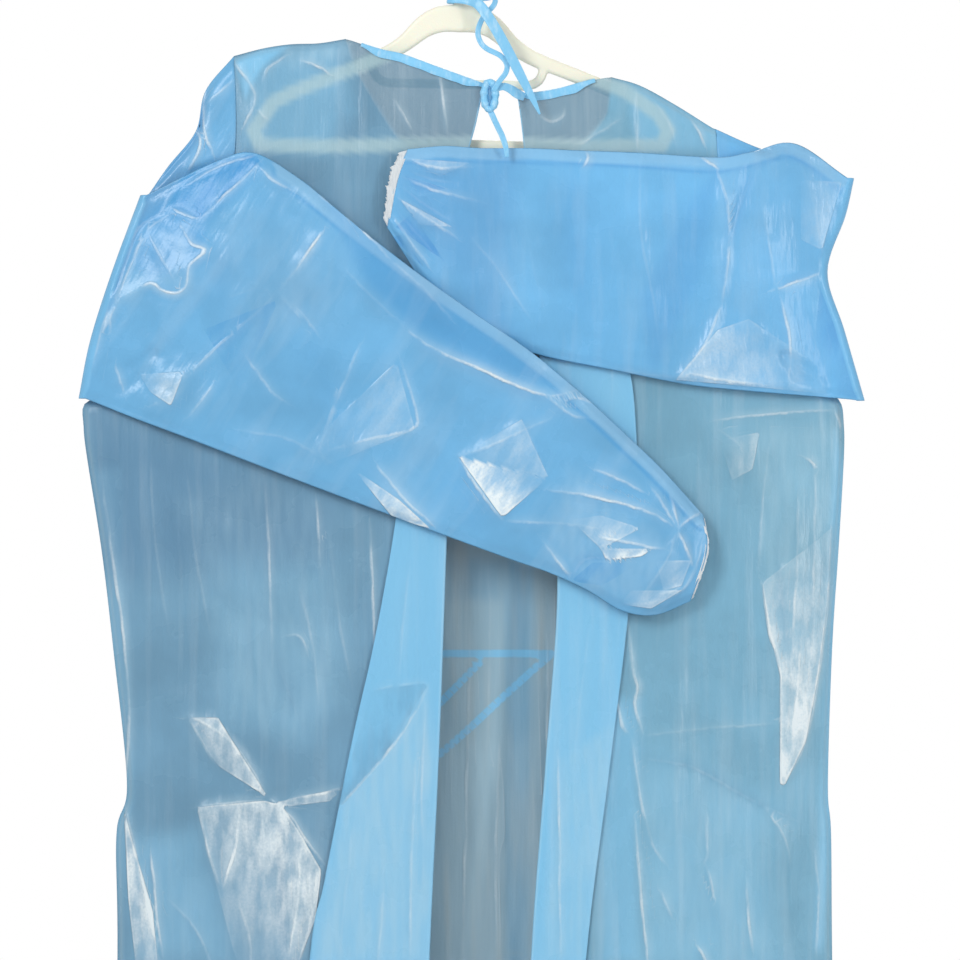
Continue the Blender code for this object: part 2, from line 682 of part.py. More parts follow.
def hanger(material):
    """One moulding: hook and stem, shoulder frame with its bar, and the inner bar."""
    mirrored = [Bar(-bar.x, bar.z, bar.width) for bar in reversed(HANGER_FRAME[1:])]
    frame = flat_bar("hanger", HANGER_FRAME + [HANGER_BAR_MIDDLE] + mirrored, material, closed=True)
    inner = INNER_BAR + [Bar(-bar.x, bar.z, bar.width) for bar in reversed(INNER_BAR)]
    union(frame, flat_bar("hanger_inner_bar_guide", inner, material, thick=HANGER_THICK - 0.8))
    centre_z = HOOK_BAR / 2 - HOOK_RADIUS
    start, stop = HOOK_TURN
    hook = [Bar(0, -70, 10), Bar(0, -58, 10), Bar(0.5, -51.5, HOOK_BAR)]
    turns = 9
    for index in range(turns + 1):
        angle = math.radians(start + (stop - start) * index / turns)
        hook.append(Bar(HOOK_RADIUS * math.cos(angle), centre_z + HOOK_RADIUS * math.sin(angle), HOOK_BAR))
    union(frame, flat_bar("hanger_hook_guide", hook, material, thick=HANGER_THICK - 0.4))
    return frame


def main():
    clear_scene()
    body = finish("body film", (0.25, 0.44, 0.58), 0.3)
    arm = finish("sleeve film", (0.22, 0.5, 0.78), 0.3)
    trim = finish("binding film", (0.26, 0.55, 0.8), 0.4)
    white = finish("white elastic", (0.85, 0.86, 0.86), 0.8)
    ivory = finish("ivory plastic", (0.86, 0.86, 0.74), 0.4)
    front = front_panel(body)
    left = back_panel("back_left", -1, ARMHOLE_LEFT, SIDE_LEFT, SHOULDER_LEFT, NECK_BACK_LEFT,
                      FOLD_LEFT, FLAP_EDGE_LEFT, body)
    right = back_panel("back_right", 1, ARMHOLE_RIGHT, SIDE_RIGHT, SHOULDER_RIGHT[::-1],
                       NECK_BACK_RIGHT[::-1], FOLD_RIGHT, FLAP_EDGE_RIGHT, body)
    for name, sleeve in SLEEVES.items():
        make_sleeve(name, sleeve, arm, white)
    neck_binding("binding_back_left", left, BINDING_START, GAP, trim)
    neck_binding("binding_back_right", right, BINDING_START, GAP, trim)
    neck_binding("binding_front", front, BINDING_START, BINDING_START, trim)
    tie_strand("tie_left", TIE_UP, trim)
    tie_strand("tie_right", TIE_BRIDGE, trim)
    tie_strand("tie_right_end", TIE_DOWN, trim)
    knot(trim)
    laid_strip("belt_band", front, BELT_BAND, GAP, trim)
    laid_strip("belt_tail_long", front, BELT_TAIL_LONG, 2 * GAP + BELT_WALL, trim)
    laid_strip("belt_tail_short", front, BELT_TAIL_SHORT, 3 * GAP + 2 * BELT_WALL, trim)
    hanger(ivory)


main()
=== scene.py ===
# %% [markdown]
# # An isolation gown on its hanger
# The gown is cut from a glossy blue film on thin nonwoven. It hangs with its back towards the camera, the sleeves
# folded across it. This lesson starts from the CAD solids, which give every cut piece its place, and lays a thin shell
# of film over each one. The creases, seam bands and gathers are listed in tables of millimetres.

import math
from collections import namedtuple

import bmesh
import bpy
import numpy as np
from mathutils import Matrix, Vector, noise


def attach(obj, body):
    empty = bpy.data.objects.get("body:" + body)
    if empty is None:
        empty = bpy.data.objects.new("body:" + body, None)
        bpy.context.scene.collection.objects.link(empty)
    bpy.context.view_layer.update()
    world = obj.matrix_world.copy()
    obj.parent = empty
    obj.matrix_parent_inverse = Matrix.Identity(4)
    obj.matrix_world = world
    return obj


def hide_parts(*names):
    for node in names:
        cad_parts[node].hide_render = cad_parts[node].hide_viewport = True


MM = 0.001
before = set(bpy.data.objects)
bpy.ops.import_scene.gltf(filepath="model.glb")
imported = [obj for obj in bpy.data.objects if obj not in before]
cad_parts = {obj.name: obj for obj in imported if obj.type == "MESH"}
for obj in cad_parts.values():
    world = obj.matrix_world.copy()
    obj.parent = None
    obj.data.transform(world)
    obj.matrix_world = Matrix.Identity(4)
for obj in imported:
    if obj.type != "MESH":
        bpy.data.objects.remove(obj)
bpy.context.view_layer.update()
print("solids:", ", ".join(sorted(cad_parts)))

# %% [markdown]
# The camera comes first, since every later look is taken through it. The photograph was taken from a few metres away,
# level with the middle of the gown, so a long lens keeps the sleeves and the back at nearly the same scale.

# %% Aim the camera
VIEW_CENTRE = (0.0179, -0.5089)
VIEW_WIDTH = 0.9024
CAMERA_AWAY = 4.0
CLOTH_NEARER = 0.015
SENSOR = 36
lens = bpy.data.cameras.new("camera")
lens.sensor_width = SENSOR
lens.lens = SENSOR * (CAMERA_AWAY - CLOTH_NEARER) / VIEW_WIDTH
lens.clip_end = 50
camera = bpy.data.objects.new("camera", lens)
camera.location = (VIEW_CENTRE[0], -CAMERA_AWAY, VIEW_CENTRE[1])
camera.rotation_euler = (math.radians(90), 0, 0)
bpy.context.scene.collection.objects.link(camera)
bpy.context.scene.camera = camera
print("camera:", CAMERA_AWAY, "m away, with a view", VIEW_WIDTH, "m wide")

# %% [markdown]
# Soft studio light: a white surround, one large soft box high on the left that draws the long highlights on the film,
# a narrower one on the right for the crisp glints, and a weak one from behind so that the film's far side isn't dead.
# The surround is white to the camera and dimmer as a light, so that creases keep some contrast.

# %% Light the studio
SURROUND_AS_LIGHT = 0.62
world = bpy.data.worlds.new("studio")
world.use_nodes = True
bpy.context.scene.world = world
sky = world.node_tree.nodes
link = world.node_tree.links.new
surround = sky["Background"]
surround.inputs["Color"].default_value = (1, 1, 1, 1)
seen = sky.new("ShaderNodeLightPath")
level = sky.new("ShaderNodeMapRange")
level.inputs["To Min"].default_value = SURROUND_AS_LIGHT
level.inputs["To Max"].default_value = 1.0
link(seen.outputs["Is Camera Ray"], level.inputs["Value"])
link(level.outputs["Result"], surround.inputs["Strength"])


def soft_box(name, place, towards, width, height, power):
    """An area light at a place, aimed at a point."""
    light = bpy.data.lights.new(name, "AREA")
    light.shape = "RECTANGLE"
    light.size, light.size_y = width, height
    light.energy = power
    box = bpy.data.objects.new(name, light)
    box.location = place
    box.rotation_euler = (Vector(towards) - Vector(place)).to_track_quat("-Z", "Y").to_euler()
    bpy.context.scene.collection.objects.link(box)
    return box


key = soft_box("key", (-1.6, -2.3, 0.9), (0, 0, -0.5), 0.9, 1.2, 42)
key.data.specular_factor = 0.6
soft_box("edge", (1.7, -1.9, -0.2), (0, 0, -0.6), 0.35, 1.4, 16)
soft_box("back", (0.4, 2.2, 0.6), (0, 0, -0.6), 1.4, 1.4, 22)
bpy.context.scene.view_settings.view_transform = "Standard"
bpy.context.scene.cycles.transparent_max_bounces = 24
print("lights:", ", ".join(light.name for light in bpy.data.lights))

# %% [markdown]
# ## Curves and sheets
# Each cut piece is a sheet stretched between four edge curves, as in the CAD source: a point inside is blended from
# the four edges. The edges are drawn through a few measured points in millimetres. NumPy places a whole sheet at once.

# %% Draw curves through measured points
def soft_line(points, steps=8):
    """A dense line on a smooth curve through the points."""
    points = np.asarray(points, float)
    ends = np.vstack([2 * points[0] - points[1], points, 2 * points[-1] - points[-2]])
    parts = []
    for a, b, c, d in zip(ends, ends[1:], ends[2:], ends[3:]):
        t = (np.arange(steps) / steps)[:, None]
        parts.append(0.5 * (2 * b + (c - a) * t + (2 * a - 5 * b + 4 * c - d) * t ** 2
                            + (3 * b - a - 3 * c + d) * t ** 3))
    return np.vstack(parts + [points[-1:]])


def along(line, shares):
    """Points at shares of a line's length."""
    line = np.asarray(line, float)
    reach = np.concatenate([[0], np.cumsum(np.linalg.norm(np.diff(line, axis=0), axis=1))])
    wanted = np.asarray(shares, float) * reach[-1]
    return np.stack([np.interp(wanted, reach, line[:, k]) for k in range(line.shape[1])], axis=-1)


def two_curves(first, second, split, shares):
    """Points on an edge made of two curves, which meet at the share split."""
    shares = np.asarray(shares, float)
    early = along(first, np.clip(shares / split, 0, 1))
    late = along(second, np.clip((shares - split) / (1 - split), 0, 1))
    return np.where((shares <= split)[:, None], early, late)


def stretch(top, low, left, right, u, v):
    """A sheet of (x, z) points between four edges: rows run down, columns run across."""
    u, v = u[None, :, None], v[:, None, None]
    flat = (1 - u) * (1 - v) * top[0] + u * (1 - v) * top[-1] + (1 - u) * v * low[0] + u * v * low[-1]
    return (1 - v) * top[None] + v * low[None] + (1 - u) * left[:, None] + u * right[:, None] - flat


def ease(share):
    """A smooth step from 0 to 1."""
    share = np.clip(share, 0, 1)
    return share * share * (3 - 2 * share)


def nearest(points, line):
    """How far each point lies from a line, and the share of the line's length where it is nearest."""
    flat = points.reshape(-1, 2)
    best = np.full(len(flat), np.inf)
    share = np.zeros(len(flat))
    steps = np.linalg.norm(np.diff(line, axis=0), axis=1)
    before = 0
    for a, b, step in zip(line, line[1:], steps):
        run = np.clip((flat - a) @ (b - a) / max(step * step, 1e-9), 0, 1)
        away = np.linalg.norm(flat - a - run[:, None] * (b - a), axis=1)
        closer = away < best
        best[closer] = away[closer]
        share[closer] = ((before + run * step) / steps.sum())[closer]
        before += step
    return best.reshape(points.shape[:-1]), share.reshape(points.shape[:-1])


def spread(*knots):
    """Even steps between knots: each knot is (value, steps up to it)."""
    parts = [[knots[0][0]]]
    for (start, _), (end, count) in zip(knots, knots[1:]):
        parts.append(np.linspace(start, end, count + 1)[1:])
    return np.concatenate(parts)


print("a curve through 3 points has", len(soft_line([(0, 0), (1, 2), (3, 2)])), "points")

# %% [markdown]
# The same outlines as the solids have, as (x, z) in millimetres, so that each shell lies in its own solid's wall. Only
# the right opening edge runs further left under the sleeves, where the flap shows between them.

# %% Measure the cut pieces
HEM_Z = -1258
SHOULDER_LEFT = [(-214, -109), (-187, -102), (-161, -98), (-134, -97), (-109, -93)]
SHOULDER_RIGHT = [(142, -129), (169, -137), (202, -155), (234, -175), (240, -178)]
NECK_BACK_LEFT = [(-109, -93), (-76, -104), (-55, -109), (-20, -122), (24, -138)]
NECK_BACK_RIGHT = [(51, -146), (70, -145), (93, -141), (121, -133), (142, -129)]
NECK_FRONT = [(-109, -93), (-97, -128), (-57, -191), (-20, -216), (27, -225), (74, -217), (112, -197),
              (138, -165), (142, -129)]
ARMHOLE_LEFT = [(-214, -109), (-212, -152), (-213, -203), (-222, -260), (-240, -310), (-264, -352),
                (-288, -390)]
ARMHOLE_RIGHT = [(240, -178), (244, -236), (252, -285), (266, -325), (284, -360), (304, -392)]
SIDE_LEFT = [(-288, -390), (-304, -414), (-332, -429), (-355, -437), (-356, -458), (-353, -486), (-339, -575),
             (-328, -668), (-315, -796), (-325, -843), (-324, -960), (-328, HEM_Z)]
SIDE_RIGHT = [(304, -392), (316, -411), (338, -423), (357, -434), (361, -456), (361, -490), (356, -575),
              (350, -668), (346, -796), (349, -843), (350, -960), (354, HEM_Z)]
FOLD_LEFT = [(24, -138), (16, -175), (8, -208), (2, -274), (-6, -387), (-10, -481), (-13, -570),
             (-20, -763), (-29, -960), (-40, HEM_Z)]
FOLD_RIGHT = [(51, -146), (57, -196), (62, -274), (68, -349), (74, -405), (84, -481), (90, -612),
              (79, -772), (65, -960), (51, HEM_Z)]
FLAP_EDGE_LEFT = [(-20, -274), (-48, -434), (-62, -551), (-81, -659), (-102, -753), (-128, -885),
                  (-142, -960), (-165, HEM_Z)]
FLAP_EDGE_RIGHT = [(112, -293), (154, -387), (165, -471), (163, -546), (157, -636), (138, -791),
                   (117, -960), (93, HEM_Z)]
# Shares along a panel's edge where one curve hands over to the next.
ARMHOLE_SHARE, NECK_SHARE_BACK, NECK_SHARE_FRONT = 0.25, 0.45, 0.22

Sleeve = namedtuple("Sleeve", "out armhole top low fold over_top over_low cuff lifts")
# A row of lifts: share from fold to cuff, lift off the back, rise over the other sleeve, and puff.
SLEEVES = {
    "sleeve_left": Sleeve(
        -1, ARMHOLE_LEFT,
        top=[(-214, -109), (-241, -142), (-250, -180), (-276, -213), (-302, -241)],
        low=[(-288, -390), (-360, -432)],
        fold=[(-302, -241), (-328, -311), (-349, -377), (-360, -432)],
        over_top=[(-302, -241), (-259, -223), (-225, -208), (-194, -202), (-151, -227), (-104, -266),
                  (-48, -310), (8, -350), (65, -389), (117, -432), (159, -471), (189, -500), (227, -542)],
        over_low=[(-360, -432), (-306, -451), (-255, -470), (-161, -506), (-57, -545), (41, -581),
                  (84, -596), (119, -612), (151, -631), (182, -635), (215, -622)],
        cuff=[(227, -542), (230, -575), (215, -622)],
        lifts=[(0.0, 11.0, 0.0, 0.0), (0.18, 11.5, 0.0, 2.5), (0.34, 11.5, 11.5, 1.0), (0.62, 11.5, 12.5, 1.0),
               (0.82, 13.0, 3.0, 3.0), (0.94, 15.0, 0.0, 5.0), (1.0, 14.0, 0.0, 2.0)]),
    "sleeve_right": Sleeve(
        1, ARMHOLE_RIGHT,
        top=[(240, -178), (281, -196), (328, -211), (370, -225)],
        low=[(304, -392), (380, -434)],
        fold=[(370, -225), (362, -260), (345, -313), (361, -368), (380, -434)],
        over_top=[(370, -225), (314, -193), (272, -201), (241, -206), (168, -202), (112, -200), (65, -198),
                  (18, -198), (-15, -196), (-50, -199)],
        over_low=[(380, -434), (356, -432), (258, -424), (206, -418), (140, -405), (79, -393), (37, -379),
                  (-6, -357), (-34, -326), (-53, -297), (-69, -272)],
        cuff=[(-50, -199), (-61, -227), (-69, -272)],
        lifts=[(0.0, 11.0, 0.0, 0.0), (0.2, 11.0, 0.0, 0.5), (0.9, 11.0, 0.0, 0.5), (1.0, 11.0, 0.0, 0.0)]),
}
SEAMS = [soft_line(line) for line in (
    SHOULDER_LEFT, SHOULDER_RIGHT, SIDE_LEFT, SIDE_RIGHT, SLEEVES["sleeve_left"].top, SLEEVES["sleeve_left"].low,
    SLEEVES["sleeve_right"].top, SLEEVES["sleeve_right"].low)]
BODY_SEAMS = SEAMS[:4]
print("seam lines:", len(SEAMS), "with", sum(len(line) for line in SEAMS), "points")

# %% [markdown]
# How deep the gown is at each place: flat at a seam, a small roll beside it, and then a long shallow crown. This is
# the solids' own rule. `SKIN` puts the film inside the solid's wall.

# %% Give the hollow its depth
BACK_CROWN, FRONT_CROWN = (12.0, 24.0), (20.0, 34.0)
CHEST_Z = -400
SKIN = 0.4
HALF_GAP, FLAT_SEAM, ROLL, ROLL_WIDTH, CROWN_REACH = 0.15, 1.2, 4.5, 6, 240
# The largest soft folds, as ridges: top x and z, low x and z, height, width.
SOFT_FOLDS = {
    "back_left": [(-215, -560, -240, -1200, 4.0, 22), (-262, -720, -170, -1240, 3.5, 18),
                  (-120, -700, -215, -940, 3.0, 16)],
    "back_right": [(318, -540, 300, -1240, 4.5, 24), (262, -560, 255, -1240, 3.0, 20),
                   (200, -700, 185, -1240, 3.5, 18)],
    "front": [(58, -590, 52, -1250, 4.0, 14), (-30, -700, -60, -1250, 3.5, 26),
              (-190, -500, -215, -1250, 4.5, 30), (210, -480, 235, -1250, 4.5, 30)],
}


def depth(points, crown, share=1.0, panel=None):
    """The distance of the film's inner side from the mid plane, in millimetres."""
    seam = np.min([nearest(points, line)[0] for line in SEAMS], axis=0)
    full = crown[0] + (crown[1] - crown[0]) * ease((CHEST_Z - points[..., 1]) / (CHEST_Z - HEM_Z))
    out = HALF_GAP + ROLL * ease((seam - FLAT_SEAM) / ROLL_WIDTH)
    out = out + full * (1 - (1 - np.minimum(seam / CROWN_REACH, 1)) ** 2.2) * share
    for x_top, z_top, x_low, z_low, height, width in SOFT_FOLDS.get(panel, ()):
        away = nearest(points, np.array([(x_top, z_top), (x_low, z_low)], float))[0]
        out += height * np.exp(-(away / width) ** 2) * ease(seam / 60)
    return out


print("depth of the back at the chest, in mm:", depth(np.array([[10.0, -350.0]]), BACK_CROWN).round(1))

# %% [markdown]
# ## Creases and facets
# Film on nonwoven doesn't drape in round waves: it buckles into sharp creases and flat facets, no two alike. Each
# crease is a path in millimetres with a height, below zero for a trough, and a width. Its pale strength is a painted
# highlight on the crest, and its deep strength is painted shade in the trough. A facet is a flat area with an outline,
# which catches the light as a whole; its pale and deep strengths are its painted highlight and painted shade. `grey`
# and `fresh` mark where a single or a doubled layer shows in it.

# %% Name what creases and facets are made of
Crease = namedtuple("Crease", "path height width pale deep")
Facet = namedtuple("Facet", "outline height soft pale deep grey fresh")
TONE_NAMES = ("pale", "deep", "grey", "fresh", "bar", "line", "sharp", "edge", "patch", "stripe")
print("tones of a sheet:", ", ".join(TONE_NAMES))


# %% Find what lies inside an outline
def depth_inside(points, outline):
    """How far inside an outline each point lies, in millimetres; below zero outside it."""
    closed = np.vstack([outline, outline[:1]]).astype(float)
    x, z = points[..., 0], points[..., 1]
    within = np.zeros(x.shape, bool)
    for (ax, az), (bx, bz) in zip(closed, closed[1:]):
        if az != bz:
            within ^= ((az > z) != (bz > z)) & (x < ax + (z - az) * (bx - ax) / (bz - az))
    away = nearest(points, closed)[0]
    return np.where(within, away, -away)


def inside(points, outline, soft):
    """1 inside an outline and 0 outside it, with a soft edge in millimetres."""
    return ease(0.5 + depth_inside(points, outline) / (2 * soft))


SQUARE = np.array([(0, 0), (10, 0), (10, 10), (0, 10)])
print("a point 2 mm inside a square:", depth_inside(np.array([[2.0, 5.0]]), SQUARE))


# %% Make smooth noise
def ripple(points, across, down, seed, turn=0.0):
    """Smooth noise from about -1 to 1, with its own size across and down, in millimetres."""
    cos, sin = math.cos(turn), math.sin(turn)
    x = (points[..., 0] * cos + points[..., 1] * sin) / across
    z = (points[..., 1] * cos - points[..., 0] * sin) / down
    flat = [noise.noise((a, b, seed)) for a, b in zip(x.ravel().tolist(), z.ravel().tolist())]
    return 1.6 * np.array(flat).reshape(x.shape)


print("three values of the noise:", ripple(np.array([[0.0, 0.0], [5.0, 0.0], [10.0, 0.0]]), 13, 60, 1.0).round(2))

# %% [markdown]
# A grid fine enough for every crisp edge would be far too heavy. So a sheet carries distances as well as tones. `line`
# is the distance to the nearest crease, with a sign for the side, and `sharp` is that crease's strength. `edge` is 0.5
# on a facet's outline and grows inwards, and the facet's tone beside it is its painted highlight, above zero, or its
# painted shade, below it. `stripe` is 0.5 near the belt's edge. The material paints the crease lines and facet edges
# from these as highlights and shade, far finer than the grid.

# %% Turn creases and facets into height and tone
LINE_UNIT = 10
LINE_REACH = 16
BETWEEN_CREASES = 3.5
EDGE_SPAN = 20
CRISP_BELOW = 5


class Relief:
    """What is placed on one sheet: its height in millimetres and its tones."""

    def __init__(self, points):
        self.points = points
        self.height = np.zeros(points.shape[:-1])
        self.tones = {tone: np.zeros(points.shape[:-1]) for tone in TONE_NAMES}
        self.tones["line"] += 1
        self.away, self.second = (np.full(points.shape[:-1], 99.0) for _ in range(2))

    def raise_tone(self, tone, values, where=...):
        self.tones[tone][where] = np.maximum(self.tones[tone][where], values)

    def add_creases(self, creases):
        for crease in creases:
            line = soft_line(crease.path, 4)
            reach = max(3.2 * crease.width, 18)
            close = np.all((self.points > line.min(axis=0) - reach) & (self.points < line.max(axis=0) + reach),
                           axis=-1)
            if not close.any():
                continue
            spots = self.points[close]
            away, share = nearest(spots, line)
            fade = np.sin(math.pi * np.clip(share, 0.02, 0.98)) ** 0.6
            form = np.exp(-(away / crease.width) ** 1.25) * fade
            self.height[close] += crease.height * form
            # The trough gets painted shade from the deep strength, and the crest a painted highlight from the pale
            # strength.
            self.raise_tone("deep", crease.deep * form, close)
            self.raise_tone("pale", 0.45 * crease.pale * form, close)
            ahead = along(line, np.minimum(share + 0.02, 1)) - along(line, np.maximum(share - 0.02, 0))
            offset = spots - along(line, share)
            side = np.where(ahead[:, 0] * offset[:, 1] - ahead[:, 1] * offset[:, 0] < 0, -1, 1)
            nearer = (away < self.away[close]) & (away < LINE_REACH)
            self.second[close] = np.where(nearer, self.away[close], np.minimum(self.second[close], away))
            narrow = np.clip((18 - crease.width) / 12, 0, 1) * np.clip(1.2 - away / 13, 0, 1)
            # The crisp line drawn from this is a painted highlight, or painted shade for a trough.
            strength = max(crease.pale, 0.2 * crease.deep) * fade * narrow
            self.tones["line"][close] = np.where(nearer, side * away / LINE_UNIT, self.tones["line"][close])
            self.tones["sharp"][close] = np.where(nearer, strength, self.tones["sharp"][close])
            self.away[close] = np.where(nearer, away, self.away[close])
        # Halfway between two creases the side changes, so nothing is drawn there.
        self.tones["sharp"] *= np.clip((self.second - self.away) / BETWEEN_CREASES, 0, 1)

    def add_facets(self, facets):
        for facet in facets:
            share = inside(self.points, facet.outline, facet.soft)
            self.height += facet.height * share
            if facet.soft < CRISP_BELOW:
                # The painted highlight or painted shade is strongest along the outline's first points and fades away
                # from them.
                outline = np.array(facet.outline, float)
                first = outline[:3 if len(outline) > 4 else 2]
                fade = 1 - 0.88 * ease(nearest(self.points, first)[0] / nearest(outline, first)[0].max())
                edge = np.clip(0.5 + depth_inside(self.points, facet.outline) / EDGE_SPAN, 0, 1)
                closer = edge > self.tones["edge"]
                self.tones["edge"] = np.where(closer, edge, self.tones["edge"])
                self.tones["patch"] = np.where(closer, (facet.pale - facet.deep) * fade, self.tones["patch"])
            else:
                # A soft facet paints a streaky highlight, or painted shade.
                streaky = 0.65 + 0.6 * np.clip(0.5 + ripple(self.points, 6, 40, facet.soft), 0, 1)
                self.raise_tone("pale", facet.pale * share * streaky)
                self.raise_tone("deep", facet.deep * share)
            self.raise_tone("grey", facet.grey * share)
            self.raise_tone("fresh", facet.fresh * share)


# %% Lay a sheet from its points
MERGE_WITHIN = 0.02


def laid_grid(name, points, tones=None, side=None, thickness=0.3):
    """A sheet from rows and columns of points in millimetres.

    Side is where its faces look along Y. Without one, as for a tube, they look outwards.
    """
    rows, columns = points.shape[:2]
    form = bmesh.new()
    form.loops.layers.uv.new("UVMap")
    bmesh.ops.create_grid(form, x_segments=columns - 1, y_segments=rows - 1, size=0.5, calc_uvs=True)
    mesh = bpy.data.meshes.new(name)
    form.to_mesh(mesh)
    form.free()
    mesh.vertices.foreach_set("co", (points * MM).astype(np.float32).ravel())
    for tone, values in (tones or {}).items():
        mesh.attributes.new(tone, "FLOAT", "POINT").data.foreach_set("value", values.astype(np.float32).ravel())
    form = bmesh.new()
    form.from_mesh(mesh)
    bmesh.ops.remove_doubles(form, verts=form.verts, dist=MERGE_WITHIN * MM)
    if side is None:
        bmesh.ops.recalc_face_normals(form, faces=form.faces)
    else:
        form.normal_update()
        if sum(face.normal.y * face.calc_area() for face in form.faces) * side < 0:
            bmesh.ops.reverse_faces(form, faces=form.faces)
    form.to_mesh(mesh)
    form.free()
    mesh.shade_smooth()
    sheet = bpy.data.objects.new(name, mesh)
    bpy.context.scene.collection.objects.link(sheet)
    if thickness:
        wall = sheet.modifiers.new("film", "SOLIDIFY")
        wall.thickness = thickness * MM
        wall.offset = 1
    print(name, rows, "rows", columns, "columns")
    return sheet


# %% [markdown]
# The creases were placed one by one over a zoomed look at the gown, piece by piece, and are given here in the gown's
# own millimetres. Below the part that shows, similar ones run on down to the hem.

# %% List the creases of each piece
SLEEVE_LEFT = [
    Crease([(-261, -217), (-274, -241), (-282, -257), (-304, -274), (-325, -326), (-342, -359), (-354, -402),
            (-358, -424)], -3, 5, 0, 0.75),
    Crease([(-275, -260), (-297, -277), (-319, -328), (-336, -362), (-348, -405)], 2, 5, 0.6, 0),
    Crease([(-263, -271), (-253, -287), (-239, -294), (-255, -308), (-257, -325), (-265, -333), (-277, -332),
          (-290, -324), (-300, -328), (-326, -347), (-330, -370)], 2.2, 3.5, 0.9, 0),
    Crease([(-296, -275), (-283, -297), (-269, -322)], 2.5, 9, 0.5, 0),
    Crease([(-322, -343), (-311, -334), (-300, -328)], 1.5, 8, 0.8, 0),
    Crease([(-130, -278), (-146, -299), (-163, -322)], 3.2, 5, 1.0, 0),
    Crease([(-232, -420), (-244, -435), (-257, -450)], 1.8, 5, 0.5, 0),
    Crease([(-171, -335), (-160, -346), (-149, -358)], 1.5, 3, 0.4, 0),
    Crease([(-201, -394), (-178, -425), (-161, -439)], 1.5, 3, 0.45, 0),
    Crease([(-324, -402), (-321, -415), (-317, -427)], 1.5, 4, 0.5, 0),
    Crease([(-257, -405), (-270, -429), (-291, -439)], 2.0, 5, 0.75, 0),
    Crease([(-109, -311), (-81, -340), (-51, -368)], 3.5, 10, 0.15, 0),
    Crease([(-51, -368), (-25, -387), (22, -407), (59, -424), (87, -431), (111, -424)], 5.0, 7, 0.8, 0),
    Crease([(-2, -489), (18, -520), (40, -547)], 3.0, 4, 0.6, 0),
    Crease([(-2, -489), (37, -473), (83, -452)], 2.0, 8, 0.3, 0),
    Crease([(83, -519), (127, -525), (180, -541), (202, -555)], 4.0, 6, 0.7, 0),
    Crease([(40, -547), (93, -550), (134, -555)], 2.5, 6, 0.35, 0),
    Crease([(130, -562), (159, -568), (190, -574)], 3.0, 7, 0.95, 0),
    Crease([(202, -556), (210, -573), (216, -590)], 2.5, 3.5, 0.8, 0),
    Crease([(202, -556), (191, -584), (168, -620)], 2.5, 5, 0.3, 0),
    Crease([(178, -516), (191, -535), (202, -555)], 2.0, 4, 0.4, 0),
    Crease([(196, -524), (200, -539), (203, -554)], 2.0, 3.5, 0.5, 0),
    Crease([(203, -554), (215, -545), (226, -539)], 2.0, 4, 0.5, 0),
    Crease([(103, -602), (116, -583), (149, -583)], -2.5, 4, 0, 0.5),
    Crease([(78, -569), (91, -586), (102, -600)], 3.0, 6, 0.8, 0),
    Crease([(-79, -494), (-53, -527), (-25, -552)], 3.5, 11, 0.85, 0),
    Crease([(-57, -396), (-41, -448), (-46, -461), (-86, -471), (-123, -480)], 2.0, 7, 0.35, 0),
    Crease([(125, -499), (149, -509), (171, -520)], 1.5, 3, 0.5, 0),
    Crease([(-222, -340), (-189, -330), (-167, -338)], 1.5, 10, 0.1, 0),
    Crease([(-187, -217), (-175, -229), (-157, -239)], 2.0, 4, 0.6, 0),
    Crease([(183, -616), (195, -614), (204, -610)], 2.0, 4, 0.9, 0),
    Crease([(157, -625), (178, -623), (206, -612), (220, -590), (227, -561)], 1.8, 4, 0.35, 0),
    Crease([(82, -432), (102, -448), (121, -452)], 1.5, 4, 0.4, 0),
    Crease([(93, -438), (107, -432), (123, -437)], 1.2, 3, 0.5, 0),
    Crease([(-123, -227), (-104, -283), (-109, -311)], -2.0, 12, 0, 0.2),
    Crease([(-231, -246), (-225, -302), (-215, -368)], -1.5, 20, 0, 0.15),
    Crease([(-151, -368), (-123, -424), (-104, -481)], -1.5, 18, 0, 0.12),
    Crease([(-208, -462), (-161, -471), (-118, -495)], 1.5, 10, 0.2, 0),
    Crease([(-20, -499), (8, -528), (18, -565)], -1.5, 12, 0, 0.15),
    Crease([(-171, -334), (-231, -387), (-283, -438)], 1.2, 3, 0.3, 0),
    Crease([(-94, -381), (-118, -438), (-139, -496)], 1.2, 3, 0.28, 0),
    Crease([(-171, -334), (-151, -351), (-134, -373)], 1.2, 3, 0.3, 0),
    Crease([(-188, -210), (-217, -238), (-245, -264)], 1.5, 4, 0.45, 0),
    Crease([(-272, -253), (-258, -261), (-245, -264)], 1.2, 3, 0.4, 0),
    Crease([(-257, -232), (-225, -214), (-191, -204)], 1.2, 3, 0.3, 0),
    Crease([(-240, -128), (-243, -152), (-242, -178), (-233, -205)], 1.5, 4, 0.6, 0),
    Crease([(-216, -133), (-232, -147), (-240, -154)], 1.2, 4, 0.5, 0),
    Crease([(-252, -175), (-245, -193), (-257, -218)], 1.2, 4, 0.45, 0),
    Crease([(-134, -241), (-95, -272), (-65, -304)], 1.2, 4, 0.4, 0),
    Crease([(-65, -304), (-29, -336), (-8, -360)], 1.2, 4, 0.35, 0),
]
